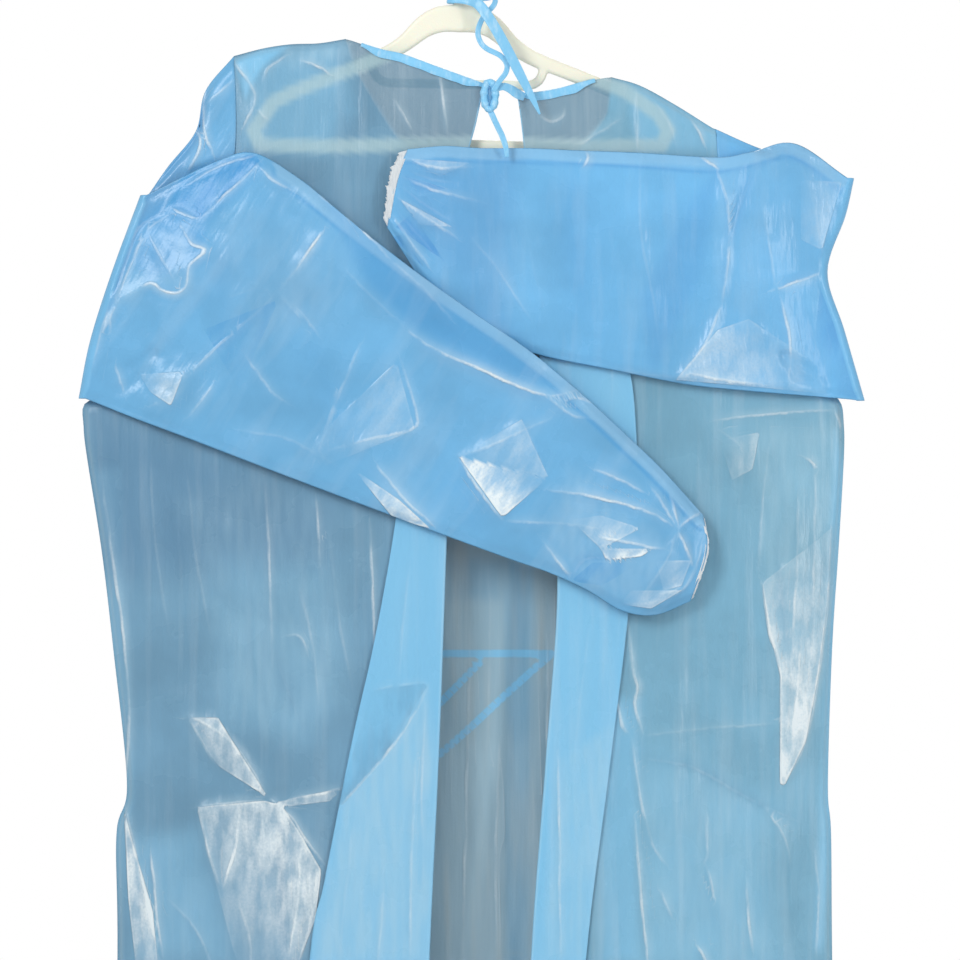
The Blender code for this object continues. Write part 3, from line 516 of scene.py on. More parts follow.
SLEEVE_RIGHT = [
    Crease([(241, -219), (249, -250), (251, -289), (244, -345)], 3.0, 6, 0.5, 0),
    Crease([(244, -345), (228, -382), (200, -417)], 3.5, 6, 0.75, 0),
    Crease([(276, -210), (264, -246), (251, -289)], -2.5, 5, 0, 0.35),
    Crease([(314, -199), (330, -246), (343, -310)], 3.0, 14, 0.25, 0),
    Crease([(343, -313), (319, -321), (290, -332)], 2.5, 6, 0.6, 0),
    Crease([(352, -340), (364, -382), (375, -426)], 2.0, 6, 0.5, 0),
    Crease([(319, -340), (333, -382), (342, -420)], -2.0, 9, 0, 0.2),
    Crease([(300, -340), (309, -377), (307, -417)], 2.0, 6, 0.55, 0),
    Crease([(195, -419), (215, -410), (243, -415), (281, -420)], 2.0, 5, 0.9, 0),
    Crease([(-46, -211), (-20, -217), (10, -216)], 2.2, 4, 0.4, 0),
    Crease([(-52, -227), (-20, -239), (20, -249)], 2.2, 5, 0.35, 0),
    Crease([(-57, -246), (-29, -266), (-3, -283)], 2.2, 5, 0.45, 0),
    Crease([(-63, -263), (-46, -288), (-29, -310)], 2.0, 5, 0.45, 0),
    Crease([(-54, -236), (-34, -251), (-10, -266)], -2.0, 4, 0, 0.5),
    Crease([(-59, -257), (-43, -276), (-24, -298)], -2.0, 4, 0, 0.5),
    Crease([(-50, -219), (-29, -227), (-5, -231)], -1.8, 4, 0, 0.4),
    Crease([(55, -236), (63, -288), (79, -358)], 2.0, 16, 0.18, 0),
    Crease([(8, -279), (37, -316), (65, -358)], 2.0, 12, 0.25, 0),
    Crease([(107, -213), (104, -274), (121, -368)], -1.8, 18, 0, 0.2),
    Crease([(168, -213), (168, -274), (180, -340), (187, -396)], 2.2, 10, 0.15, 0),
    Crease([(215, -236), (206, -293), (215, -358)], -1.8, 14, 0, 0.2),
    Crease([(281, -246), (289, -288), (295, -330)], 1.8, 10, 0.2, 0),
    Crease([(117, -201), (119, -208), (115, -215)], 1.2, 3, 0.6, 0),
    Crease([(225, -206), (232, -211), (242, -217)], 1.5, 3, 0.7, 0),
    Crease([(140, -407), (178, -411), (215, -415)], 1.2, 5, 0.2, 0),
    Crease([(-20, -340), (8, -357), (46, -373)], 1.6, 8, 0.2, 0),
]
BACK_LEFT = [
    Crease([(-215, -114), (-194, -147), (-205, -178)], 1.5, 4, 0.8, 0),
    Crease([(-191, -161), (-186, -166), (-181, -170)], 1.2, 4, 0.7, 0),
    Crease([(-151, -114), (-134, -120), (-123, -127)], 1.5, 7, 0.6, 0),
    Crease([(-165, -110), (-180, -120), (-187, -133)], 1.2, 5, 0.5, 0),
    Crease([(-20, -127), (-16, -156), (-13, -185)], 1.2, 2.5, 0.7, 0),
    Crease([(-62, -152), (-54, -166), (-46, -180)], 1.0, 3, 0.4, 0),
    Crease([(-123, -142), (-109, -170), (-102, -199)], -1.2, 10, 0, 0.2),
    Crease([(-184, -509), (-180, -593), (-177, -684)], 1.6, 2.5, 0.45, 0),
    Crease([(-136, -525), (-134, -556), (-133, -590)], 1.6, 3, 0.35, 0),
    Crease([(-123, -565), (-116, -631), (-102, -706)], 2.0, 12, 0.35, 0),
    Crease([(-86, -547), (-83, -608), (-81, -665)], 2.0, 3, 0.6, 0),
    Crease([(-165, -655), (-151, -656), (-143, -674)], 1.6, 4, 0.7, 0),
    Crease([(-175, -665), (-164, -702), (-152, -736)], -2.0, 8, 0, 0.25),
    Crease([(-257, -509), (-249, -584), (-234, -659)], 1.6, 10, 0.25, 0),
    Crease([(-292, -490), (-288, -565), (-274, -659)], 1.5, 12, 0.2, 0),
    Crease([(-258, -733), (-243, -736), (-210, -761), (-181, -807)], 3.0, 5, 0.8, 0),
    Crease([(-255, -734), (-243, -755), (-231, -775)], 2.0, 4, 0.6, 0),
    Crease([(-248, -816), (-217, -812), (-184, -810)], 2.5, 4, 0.85, 0),
    Crease([(-181, -807), (-163, -821), (-146, -845), (-128, -870)], 3.0, 4, 0.7, 0),
    Crease([(-245, -819), (-238, -853), (-227, -889)], 2.2, 4, 0.7, 0),
    Crease([(-208, -824), (-212, -857), (-223, -890)], 2.2, 5, 0.8, 0),
    Crease([(-159, -807), (-134, -804), (-112, -798)], 1.8, 4, 0.5, 0),
    Crease([(-168, -815), (-168, -885), (-164, -960)], -1.6, 4, 0, 0.35),
    Crease([(-151, -857), (-153, -904), (-161, -955)], 1.8, 5, 0.5, 0),
    Crease([(-134, -875), (-140, -918), (-151, -960)], 1.6, 5, 0.6, 0),
    Crease([(-292, -859), (-287, -908), (-281, -960)], 2.4, 5, 0.8, 0),
    Crease([(-305, -866), (-302, -913), (-296, -960)], -1.8, 5, 0, 0.2),
    Crease([(-274, -904), (-245, -937), (-231, -974)], 1.8, 9, 0.3, 0),
    Crease([(-208, -904), (-198, -941), (-200, -988)], 1.8, 8, 0.35, 0),
    Crease([(-264, -998), (-255, -1073), (-249, -1167)], 2.4, 10, 0.3, 0),
    Crease([(-311, -979), (-302, -1082), (-300, -1214)], 2.0, 8, 0.3, 0),
    Crease([(-198, -1007), (-187, -1101), (-191, -1233)], 2.2, 9, 0.35, 0),
    Crease([(-151, -984), (-155, -1073), (-168, -1176)], 2.0, 7, 0.3, 0),
    Crease([(-340, -499), (-328, -584), (-317, -659), (-313, -716), (-313, -757), (-318, -808)], 1.6, 4, 0.55, 0),
    Crease([(-318, -810), (-305, -867), (-292, -918), (-283, -965)], 2.0, 4, 0.8, 0),
    Crease([(-151, -612), (-140, -659), (-134, -716)], 1.2, 4, 0.3, 0),
]
FLAP_LEFT = [
    Crease([(-83, -706), (-55, -701), (-29, -699)], 1.0, 4, 0.2, 0),
    Crease([(-29, -699), (-46, -731), (-70, -766), (-112, -814)], 1.2, 4, 0.45, 0),
    Crease([(-43, -772), (-46, -857), (-48, -960)], 1.2, 9, 0.5, 0),
    Crease([(-34, -716), (-37, -810), (-35, -885)], 0.8, 4, 0.3, 0),
    Crease([(-102, -838), (-109, -904), (-114, -960)], 1.0, 12, 0.35, 0),
    Crease([(-72, -885), (-78, -960), (-84, -1035)], 0.9, 5, 0.3, 0),
    Crease([(-48, -584), (-54, -640), (-59, -697)], 0.9, 12, 0.2, 0),
    Crease([(-57, -998), (-65, -1092), (-72, -1223)], 1.0, 8, 0.35, 0),
    Crease([(-123, -998), (-131, -1110), (-140, -1233)], 1.0, 10, 0.3, 0),
]
BACK_RIGHT = [
    Crease([(156, -638), (161, -686), (166, -703), (163, -720), (171, -749)], 2.2, 2.5, 0.95, 0),
    Crease([(146, -714), (152, -741), (160, -749)], 1.6, 2.5, 0.6, 0),
    Crease([(160, -749), (164, -780), (168, -808), (179, -849), (193, -871)], 1.8, 3, 0.55, 0),
    Crease([(163, -825), (168, -890), (175, -965)], 2.2, 2.5, 0.95, 0),
    Crease([(130, -763), (133, -781), (137, -800)], 1.6, 4, 0.7, 0),
    Crease([(230, -821), (231, -859), (229, -868)], 1.6, 2.5, 0.6, 0),
    Crease([(231, -874), (235, -889), (238, -902)], 1.4, 2.5, 0.6, 0),
    Crease([(168, -769), (220, -780), (269, -808), (321, -832)], -1.8, 4, 0, 0.4),
    Crease([(171, -749), (234, -742), (297, -738)], 0.9, 4, 0.2, 0),
    Crease([(283, -606), (290, -651), (300, -693), (301, -794)], 3.0, 5, 0.85, 0),
    Crease([(349, -554), (345, -624), (337, -686), (324, -755), (301, -796)], 2.6, 5, 0.7, 0),
    Crease([(317, -528), (316, -584), (311, -659)], 2.0, 7, 0.55, 0),
    Crease([(333, -499), (332, -584), (330, -678)], 2.0, 6, 0.5, 0),
    Crease([(298, -565), (302, -622), (309, -678)], -1.6, 4, 0, 0.3),
    Crease([(319, -659), (316, -706), (311, -753)], 1.8, 4, 0.8, 0),
    Crease([(290, -471), (283, -528), (279, -593)], 1.6, 8, 0.35, 0),
    Crease([(238, -453), (290, -447), (352, -443)], 1.6, 6, 0.5, 0),
    Crease([(243, -462), (264, -481), (258, -507)], 1.4, 10, 0.35, 0),
    Crease([(324, -488), (330, -492), (336, -499)], 1.2, 4, 0.6, 0),
    Crease([(352, -445), (356, -452), (358, -462)], 1.2, 4, 0.7, 0),
    Crease([(281, -810), (305, -847), (309, -871)], 1.4, 6, 0.35, 0),
    Crease([(215, -875), (239, -918), (262, -965)], -1.4, 12, 0, 0.15),
    Crease([(267, -885), (270, -918), (274, -951)], 1.2, 4, 0.5, 0),
    Crease([(333, -857), (336, -904), (334, -960)], 1.4, 6, 0.45, 0),
    Crease([(187, -894), (192, -908), (198, -918)], 1.2, 4, 0.6, 0),
    Crease([(222, -946), (227, -955), (232, -969)], 1.2, 4, 0.6, 0),
    Crease([(165, -142), (165, -170), (166, -199)], 1.2, 2.5, 0.5, 0),
    Crease([(113, -193), (131, -182), (149, -170)], 1.2, 6, 0.5, 0),
    Crease([(75, -167), (86, -172), (96, -167), (98, -159)], 1.0, 3, 0.35, 0),
    Crease([(249, -184), (253, -192), (258, -201)], 1.4, 5, 0.9, 0),
    Crease([(182, -152), (195, -172), (202, -195)], 1.2, 5, 0.4, 0),
    Crease([(215, -169), (225, -182), (230, -195)], 1.2, 5, 0.5, 0),
    Crease([(187, -509), (190, -584), (195, -659)], 1.4, 14, 0.15, 0),
    Crease([(225, -998), (229, -1092), (236, -1223)], 2.2, 9, 0.35, 0),
    Crease([(178, -974), (183, -1073), (187, -1214)], 2.0, 4, 0.6, 0),
    Crease([(290, -988), (289, -1092), (296, -1233)], 2.2, 8, 0.35, 0),
    Crease([(337, -998), (341, -1110), (343, -1233)], 2.0, 7, 0.4, 0),
]
FLAP_RIGHT = [
    Crease([(91, -763), (92, -857), (93, -960)], 1.2, 4, 0.55, 0),
    Crease([(121, -640), (112, -716), (104, -791)], 0.9, 12, 0.2, 0),
    Crease([(140, -340), (142, -396), (140, -462)], 0.9, 10, 0.2, 0),
    Crease([(93, -965), (89, -1073), (86, -1223)], 1.2, 5, 0.45, 0),
]
FRONT = [
    Crease([(48, -584), (49, -716), (46, -960)], 1.6, 5, 0, 0.2),
    Crease([(65, -584), (66, -716), (63, -960)], 1.6, 5, 0, 0.2),
    Crease([(8, -640), (7, -716), (1, -960)], 1.6, 7, 0.25, 0),
    Crease([(24, -584), (27, -659), (24, -772)], 1.4, 5, 0.2, 0),
    Crease([(80, -622), (82, -716), (79, -932)], 1.4, 5, 0.25, 0),
    Crease([(37, -753), (33, -857), (35, -960)], 1.4, 6, 0.3, 0),
    Crease([(-165, -235), (-142, -300), (-128, -372)], 2.0, 5, 0.55, 0),
    Crease([(-96, -262), (-104, -330), (-92, -405)], 1.6, 4, 0.4, 0),
    Crease([(-214, -330), (-196, -392), (-188, -470)], 2.2, 7, 0.45, 0),
    Crease([(186, -262), (170, -330), (158, -398)], 2.0, 5, 0.55, 0),
    Crease([(232, -322), (214, -392), (210, -462)], 2.2, 7, 0.4, 0),
    Crease([(150, -240), (128, -286), (122, -340)], 1.4, 4, 0.35, 0),
    Crease([(-60, -238), (-48, -276), (-52, -330)], 1.2, 3, 0.35, 0),
    Crease([(-262, -420), (-232, -432), (-204, -428)], 1.6, 5, 0.5, 0),
    Crease([(252, -436), (286, -446), (322, -442)], 1.6, 5, 0.5, 0),
    Crease([(-150, -430), (-118, -452), (-96, -500)], 1.6, 4, 0.4, 0),
]

CREASES_PLACED = (SLEEVE_LEFT, SLEEVE_RIGHT, BACK_LEFT, FLAP_LEFT, BACK_RIGHT, FLAP_RIGHT, FRONT)
print("creases placed by hand:", sum(len(rows) for rows in CREASES_PLACED))

# %% List the facets of each piece
SLEEVE_LEFT_FACETS = [
    Facet([(-188, -210), (-217, -238), (-245, -264), (-274, -252), (-263, -218), (-225, -208),
          (-193, -203)], -2, 3, 0, 1, 0, 0),
    Facet([(-240, -141), (-252, -167), (-282, -214), (-304, -242), (-325, -308), (-342, -368), (-359, -428),
          (-354, -402), (-342, -359), (-325, -326), (-304, -274), (-282, -257), (-263, -218),
          (-241, -175)], -2.5, 5, 0, 0.4, 0.4, 0),
    Facet([(-136, -232), (-95, -266), (-29, -330), (37, -377), (93, -420), (59, -420), (22, -402), (-25, -380),
          (-51, -363), (-86, -330)], -1.5, 10, 0, 0.5, 0, 0),
    Facet([(57, -452), (82, -507), (-2, -487)], 2.5, 3, 0.25, 0, 0, 0),
    Facet([(39, -544), (-2, -487), (80, -508)], 2.5, 3, 0.95, 0, 0, 0),
    Facet([(-297, -279), (-257, -272), (-243, -295), (-260, -329), (-295, -326), (-321, -351)], 1.2, 9, 0.2, 0, 0, 0),
    Facet([(-309, -304), (-292, -250), (-263, -218), (-193, -203), (-185, -214), (-238, -270), (-241, -304),
          (-292, -321)], 0, 9, 0, 0.55, 0, 0),
    Facet([(-259, -407), (-272, -439), (-292, -426), (-302, -410)], 1, 3, 0.4, 0, 0, 0),
    Facet([(-60, -398), (-43, -462), (-128, -496), (-137, -471)], 1, 3, 0.18, 0, 0, 0),
    Facet([(-231, -260), (-95, -283), (-123, -368), (-217, -368)], 0, 25, 0.12, 0, 0, 0),
    Facet([(102, -499), (168, -546), (206, -584), (168, -622), (121, -612), (79, -565)], 1, 12, 0.25, 0, 0, 0),
    Facet([(168, -554), (131, -573), (102, -546), (131, -542)], 1, 3, 0.4, 0, 0, 0),
    Facet([(136, -584), (168, -580), (180, -573), (131, -573)], 1, 3, 0.85, 0, 0, 0),
    Facet([(215, -584), (206, -608), (189, -612), (182, -584)], 0, 3, 0.35, 0, 0, 0),
    Facet([(206, -612), (178, -629), (149, -625), (159, -612)], 0, 3, 0.35, 0, 0, 0),
    Facet([(103, -603), (123, -586), (168, -586), (131, -608)], 0, 3, 0, 0.7, 0, 0),
    Facet([(-29, -554), (-57, -528), (-100, -499), (-62, -546)], 2, 3, 0.7, 0, 0, 0),
    Facet([(-241, -368), (-170, -340), (-208, -424)], -1, 4, 0, 0.35, 0, 0),
]
SLEEVE_RIGHT_FACETS = [
    Facet([(262, -420), (201, -415), (241, -368), (270, -358), (339, -403), (344, -428)], 1.5, 3, 0.3, 0, 0, 0),
    Facet([(240, -236), (245, -219), (264, -212), (251, -289), (242, -368), (225, -398),
          (236, -340)], 1, 5, 0.15, 0, 0, 0),
    Facet([(242, -219), (225, -321), (180, -407), (168, -340), (215, -246)], 0, 8, 0, 0.3, 0, 0),
    Facet([(241, -219), (319, -191), (368, -225), (339, -314), (339, -403), (270, -358), (242, -368),
          (251, -289)], 0, 8, 0.06, 0, 0, 0),
    Facet([(-62, -208), (55, -208), (37, -368), (-39, -283)], -0.5, 20, 0, 0.3, 0.25, 0),
    Facet([(-61, -272), (-15, -304), (-46, -259)], -1, 3, 0, 0.8, 0, 0),
    Facet([(-54, -223), (-14, -236), (-40, -242)], -1, 3, 0, 0.7, 0, 0),
    Facet([(-57, -246), (-8, -272), (-39, -270)], 1, 3, 0.3, 0, 0, 0),
    Facet([(-65, -281), (-35, -310), (-54, -279)], -1, 3, 0, 0.8, 0, 0),
    Facet([(-48, -208), (8, -212), (-20, -225)], 1, 3, 0.22, 0, 0, 0),
    Facet([(339, -314), (381, -434), (344, -428), (333, -368)], -1.5, 3, 0, 0.6, 0, 0),
    Facet([(358, -229), (339, -293), (319, -283), (319, -227)], 1, 4, 0.2, 0, 0, 0),
]
BACK_LEFT_FACETS = [
    Facet([(-181, -807), (-210, -761), (-228, -732), (-258, -732), (-228, -777)], 2.5, 3, 0.8, 0, 0, 0),
    Facet([(-131, -875), (-151, -840), (-168, -814), (-184, -810), (-248, -816), (-225, -904), (-208, -969),
          (-161, -984), (-136, -920)], 2, 4, 0.8, 0, 0, 0),
    Facet([(-161, -815), (-172, -810), (-131, -802), (-110, -798), (-123, -810)], 1, 4, 0.5, 0, 0, 0),
    Facet([(-290, -913), (-307, -857), (-317, -821), (-313, -904), (-304, -984), (-283, -984)], 2, 4, 0.8, 0, 0, 0),
    Facet([(-213, -114), (-187, -101), (-161, -99), (-187, -123), (-203, -152)], 1, 5, 0, 0, 0, 0.9),
    Facet([(-208, -114), (-118, -97), (-102, -161), (-128, -199), (-208, -199)], 0, 14, 0.1, 0, 0, 0.4),
    Facet([(-167, -102), (-109, -97), (-102, -110), (-161, -123)], 0, 8, 0.4, 0, 0, 0),
    Facet([(-222, -584), (-118, -584), (-109, -716), (-208, -734)], 0, 25, 0.15, 0, 0, 0.15),
    Facet([(-266, -528), (-198, -507), (-123, -532), (-118, -584), (-198, -622), (-241, -612)], 0, 18, 0.16, 0, 0, 0),
    Facet([(-354, -434), (-123, -532), (-123, -584), (-349, -603)], 0, 28, 0, 0.5, 0, 0),
    Facet([(-349, -499), (-322, -499), (-311, -810), (-322, -904)], 0, 9, 0.1, 0, 0, 0.25),
    Facet([(-231, -622), (-109, -640), (-118, -716), (-151, -753), (-222, -734)], 0, 22, 0.25, 0, 0, 0.2),
    Facet([(-311, -847), (-245, -838), (-217, -960), (-302, -960)], 0, 18, 0.15, 0, 0, 0.3),
]
FLAP_LEFT_FACETS = [
    Facet([(-111, -814), (-70, -766), (-34, -706), (-29, -699), (-83, -706), (-116, -812)], -0.6, 4, 0, 0.28, 0, 0),
    Facet([(-34, -706), (-23, -772), (-29, -960), (-134, -960), (-111, -814), (-70, -766)], 0, 8, 0.5, 0, 0, 0),
    Facet([(-134, -960), (-29, -960), (-39, -1258), (-165, -1258)], 0, 8, 0.5, 0, 0, 0),
]
BACK_RIGHT_FACETS = [
    Facet([(300, -794), (304, -796), (324, -755), (333, -710), (337, -686), (345, -624), (349, -554), (283, -606),
          (290, -651), (300, -693)], 3, 4, 0.9, 0, 0, 0),
    Facet([(274, -457), (354, -457), (351, -584), (283, -622)], 1, 14, 0.3, 0, 0, 0),
    Facet([(154, -131), (225, -159), (281, -199), (168, -199)], 0, 8, 0.08, 0, 0, 0.5),
    Facet([(352, -462), (362, -499), (349, -857), (339, -951), (333, -951), (343, -716)], 0, 5, 0.2, 0, 0, 0.6),
    Facet([(131, -716), (168, -716), (168, -960), (131, -960)], 0, 10, 0, 0, 0, 0.45),
    Facet([(168, -781), (281, -810), (300, -960), (168, -960)], 0, 25, 0.2, 0, 0, 0.3),
    Facet([(281, -464), (274, -499), (255, -509), (243, -471)], 1, 4, 0.3, 0, 0, 0),
]
FLAP_RIGHT_FACETS = [
    Facet([(93, -772), (149, -734), (121, -960), (74, -960)], 0, 8, 0.3, 0, 0, 0),
    Facet([(74, -960), (121, -960), (93, -1258), (51, -1258)], 0, 8, 0.3, 0, 0, 0),
]
FRONT_FACETS = [
    Facet([(44, -584), (67, -584), (61, -960), (44, -960)], 0, 5, 0, 0.3, 0, 0.3),
    Facet([(44, -960), (61, -960), (59, -1258), (44, -1258)], 0, 5, 0, 0.3, 0, 0.3),
    Facet([(-12, -584), (41, -584), (37, -622), (-10, -622)], 0, 8, 0, 0.4, 0, 0),
    Facet([(-20, -753), (74, -753), (65, -1258), (-34, -1258)], 0, 25, 0.3, 0, 0, 0),
]

# %% [markdown]
# ## Materials
# The gown's film is glossy and almost smooth, with a fine embossed grain, so its highlights are broad and slightly
# sparkling. Its colour is mixed from the tones of the sheet: the pale tone is painted highlight on crests and facets,
# the deep tone painted shade in troughs and on darker facets, `grey` where a single layer lies over air, `fresh` for
# the brighter blue of a doubled layer and `bar` for what shows through from behind. Crease lines and facet edges are
# drawn as painted highlights and painted shade. Noise adds the mottling of the coating, and streaks that run with the
# cloth, whose pale parts are painted glints. A share of the light passes straight through, so that layers show through
# each other. Shadow rays are stopped, which saves much of the time.

# %% Turn display colours into node values
def tint(red, green, blue):
    """A display colour, 0 to 255, as the linear values that a node takes."""
    linear = [(c / 255 / 12.92) if c <= 10 else ((c / 255 + 0.055) / 1.055) ** 2.4 for c in (red, green, blue)]
    return tuple(linear) + (1,)


# The colour of every painted highlight and glint on the film.
HIGHLIGHT_WHITE = (236, 247, 251)
print("whitened film:", [round(value, 3) for value in tint(*HIGHLIGHT_WHITE)])


# %% Mix a film
SOAKED_TONES = ("grey", "fresh", "deep", "bar")


def film(name, base, deep, grey, fresh, alpha, roughness, streak, turn=0.0, rumple=1.0, glints=0.3,
         bar=(184, 214, 220), soft_pale=(188, 222, 242)):
    """A film in its display colours.

    Streak is the size of its streaks across and along in metres, turned about Y, and glints the strength of the
    painted glints along them. Rumple is the height of its fine unevenness, and soft_pale the colour of a soft painted
    highlight on a crest.
    """
    material = bpy.data.materials.new(name)
    material.use_nodes = True
    material.use_transparent_shadow = False
    nodes, wire = material.node_tree.nodes, material.node_tree.links.new
    shader = nodes["Principled BSDF"]
    place = nodes.new("ShaderNodeTexCoord").outputs["Object"]

    def speckle(scale, detail, stretch=None):
        texture = nodes.new("ShaderNodeTexNoise")
        texture.inputs["Scale"].default_value = scale
        texture.inputs["Detail"].default_value = detail
        source = place
        if stretch:
            mapping = nodes.new("ShaderNodeMapping")
            mapping.vector_type = "TEXTURE"
            mapping.inputs["Rotation"].default_value = (0, turn, 0)
            mapping.inputs["Scale"].default_value = stretch
            wire(place, mapping.inputs["Vector"])
            source = mapping.outputs["Vector"]
        wire(source, texture.inputs["Vector"])
        return texture.outputs["Fac"]

    def ranged(value, low, high, to_low, to_high):
        node = nodes.new("ShaderNodeMapRange")
        for key, number in (("From Min", low), ("From Max", high), ("To Min", to_low), ("To Max", to_high)):
            node.inputs[key].default_value = number
        wire(value, node.inputs["Value"])
        return node.outputs["Result"]

    def reckon(operation, first, second):
        node = nodes.new("ShaderNodeMath")
        node.operation = operation
        wire(first, node.inputs[0])
        wire(second, node.inputs[1])
        return node.outputs["Value"]

    def mixed(share, first, second):
        node = nodes.new("ShaderNodeMix")
        node.data_type = "RGBA"
        wire(share, node.inputs["Factor"])
        wire(first, node.inputs["A"])
        node.inputs["B"].default_value = second
        return node.outputs["Result"]

    def tone(attribute):
        node = nodes.new("ShaderNodeAttribute")
        node.attribute_name = attribute
        return node.outputs["Fac"]

    streaks = speckle(1, 3, (streak[0], 0.05, streak[1]))
    grain = speckle(420, 1)
    torn = speckle(1, 4, (0.011, 0.011, 0.03))
    mottle = speckle(14, 4)
    colour = nodes.new("ShaderNodeMix")
    colour.data_type = "RGBA"
    colour.inputs["A"].default_value = tint(*[c * 0.95 for c in base])
    colour.inputs["B"].default_value = tint(*[min(c * 1.04, 255) for c in base])
    wire(ranged(mottle, 0.3, 0.7, 0, 1), colour.inputs["Factor"])
    colour = colour.outputs["Result"]
    # The deep tone mixed in here is painted shade.
    for attribute, shade in zip(SOAKED_TONES, (grey, fresh, deep, bar)):
        colour = mixed(tone(attribute), colour, tint(*shade))
    # Pale streaks along the cloth are painted glints.
    colour = mixed(ranged(streaks, 0.5, 0.8, 0, glints), colour, tint(*HIGHLIGHT_WHITE))
    # The belt's outline, where it shows through.
    colour = mixed(ranged(tone("stripe"), 0.46, 0.54, 0, 0.7), colour, tint(*fresh))
    fine = ranged(grain, 0.3, 0.65, 0.82, 1.08)
    # Facets: a crisp outline, a painted highlight or painted shade that varies a little inside, and a painted
    # highlight along the edge.
    edge, patch = tone("edge"), tone("patch")
    within = ranged(reckon("ADD", edge, ranged(torn, 0.25, 0.75, -0.02, 0.02)), 0.485, 0.525, 0, 1)
    patch_tone = reckon("MULTIPLY", within, reckon("MULTIPLY", patch, ranged(torn, 0.38, 0.62, 0.4, 1.2)))
    facet_highlight = ranged(patch_tone, 0, 1, 0, 1)
    facet_shade = ranged(patch_tone, 0, -1, 0, 1)
    rim = reckon("MULTIPLY", ranged(edge, 0.47, 0.5, 0, 1), ranged(edge, 0.5, 0.6, 1, 0))
    rim = reckon("MULTIPLY", rim, ranged(patch, 0.1, 0.8, 0, 0.45))
    # Creases: a painted highlight along a crisp line, a painted sheen that fades on one side of it and painted shade
    # on the other.
    line, sharp = tone("line"), reckon("MULTIPLY", tone("sharp"), ranged(mottle, 0.36, 0.64, 0.25, 1.2))
    wavy = reckon("ADD", line, ranged(torn, 0.3, 0.7, -0.08, 0.08))
    crest = reckon("MULTIPLY", ranged(wavy, -0.16, -0.06, 0, 1), ranged(wavy, 0.06, 0.2, 1, 0))
    crest = reckon("MULTIPLY", crest, ranged(torn, 0.3, 0.7, 0.25, 1.25))
    sheen = reckon("MULTIPLY", ranged(wavy, -0.03, 0.04, 0, 1), ranged(line, 0, 0.9, 0.3, 0))
    shade = reckon("MULTIPLY", ranged(wavy, -0.04, 0.03, 1, 0), ranged(line, -0.8, 0, 0, 0.55))
    # Dark facets and the dark side of a crease are painted shade.
    colour = mixed(reckon("ADD", facet_shade, reckon("MULTIPLY", shade, sharp)), colour, tint(*deep))
    # The pale tone is a soft painted highlight.
    colour = mixed(ranged(tone("pale"), 0, 1, 0, 0.75), colour, tint(*soft_pale))
    lit = reckon("MULTIPLY", reckon("ADD", crest, sheen), sharp)
    glow = reckon("ADD", reckon("ADD", lit, rim), facet_highlight)
    # Crease lines, facet rims and bright facets are painted highlights, broken by the grain.
    colour = mixed(reckon("MULTIPLY", glow, fine), colour, tint(*HIGHLIGHT_WHITE))
    wire(colour, shader.inputs["Base Color"])
    shader.inputs["Alpha"].default_value = alpha
    shader.inputs["IOR"].default_value = 1.4
    wire(ranged(mottle, 0.3, 0.7, roughness - 0.06, roughness + 0.08), shader.inputs["Roughness"])
    form = reckon("ADD", ranged(grain, 0, 1, 0, 0.00012), ranged(streaks, 0, 1, 0, 0.0022 * rumple))
    form = reckon("ADD", form, ranged(glow, 0, 1, 0, 0.0014))
    form = reckon("ADD", form, ranged(torn, 0, 1, 0, 0.0007 * rumple))
    rise = nodes.new("ShaderNodeBump")
    rise.inputs["Distance"].default_value = 1.0
    rise.inputs["Strength"].default_value = 0.8
    wire(form, rise.inputs["Height"])
    wire(rise.outputs["Normal"], shader.inputs["Normal"])
    return material


# %% Make the gown's films
# Each film's colour after its base is the colour of its painted shade, and the soft crest colour, where one is given,
# that of its soft painted highlight.
GREY, FRESH = (114, 147, 167), (138, 208, 247)
body_left_film = film("body film, left", (119, 165, 194), (88, 132, 168), GREY, FRESH, 0.75, 0.28, (0.012, 0.16),
                      glints=0.1, soft_pale=(184, 222, 240))
body_right_film = film("body film, right", (130, 184, 211), (90, 148, 184), GREY, FRESH, 0.75, 0.28, (0.012, 0.16),
                       glints=0.14, soft_pale=(188, 224, 238))
front_film = film("front film", (126, 178, 206), (92, 150, 186), (150, 184, 201), (126, 206, 250), 0.9, 0.34,
                  (0.012, 0.16), rumple=0.7, glints=0.12, bar=(178, 192, 194), soft_pale=(188, 220, 234))
sleeve_left_film = film("sleeve film, left", (112, 178, 222), (70, 154, 214), (118, 162, 198), FRESH, 0.85, 0.25,
                        (0.02, 0.12), turn=math.radians(33), glints=0.1)
sleeve_right_film = film("sleeve film, right", (114, 184, 231), (86, 158, 218), (118, 162, 194), FRESH, 0.85, 0.25,
                         (0.014, 0.1), glints=0.08)
trim_film = film("trim film", (122, 188, 226), (84, 146, 190), GREY, FRESH, 0.95, 0.32, (0.004, 0.01), rumple=0.3)
print("films:", ", ".join(material.name for material in bpy.data.materials))

# %% [markdown]
# ## The body
# The back is cut in two halves. Each one's opening edge is turned back outwards as a flap, so the sheet runs on round
# a tight bend and then lies on itself. Where a sleeve or the flap covers the panel, its creases stay low, so that the
# layers don't cross. The sheets meet at the shoulders and sides, where no light comes through. The front is one piece
# with a scooped neck.

# %% Measure what covers what
def over_half(sleeve):
    """The outline of the folded half of a sleeve."""
    fold = soft_line(sleeve.fold)
    return np.vstack([soft_line(sleeve.over_top), soft_line(sleeve.cuff)[1:-1], soft_line(sleeve.over_low)[::-1],
                      fold[::-1][1:-1]])


COVERS = [over_half(sleeve) for sleeve in SLEEVES.values()]
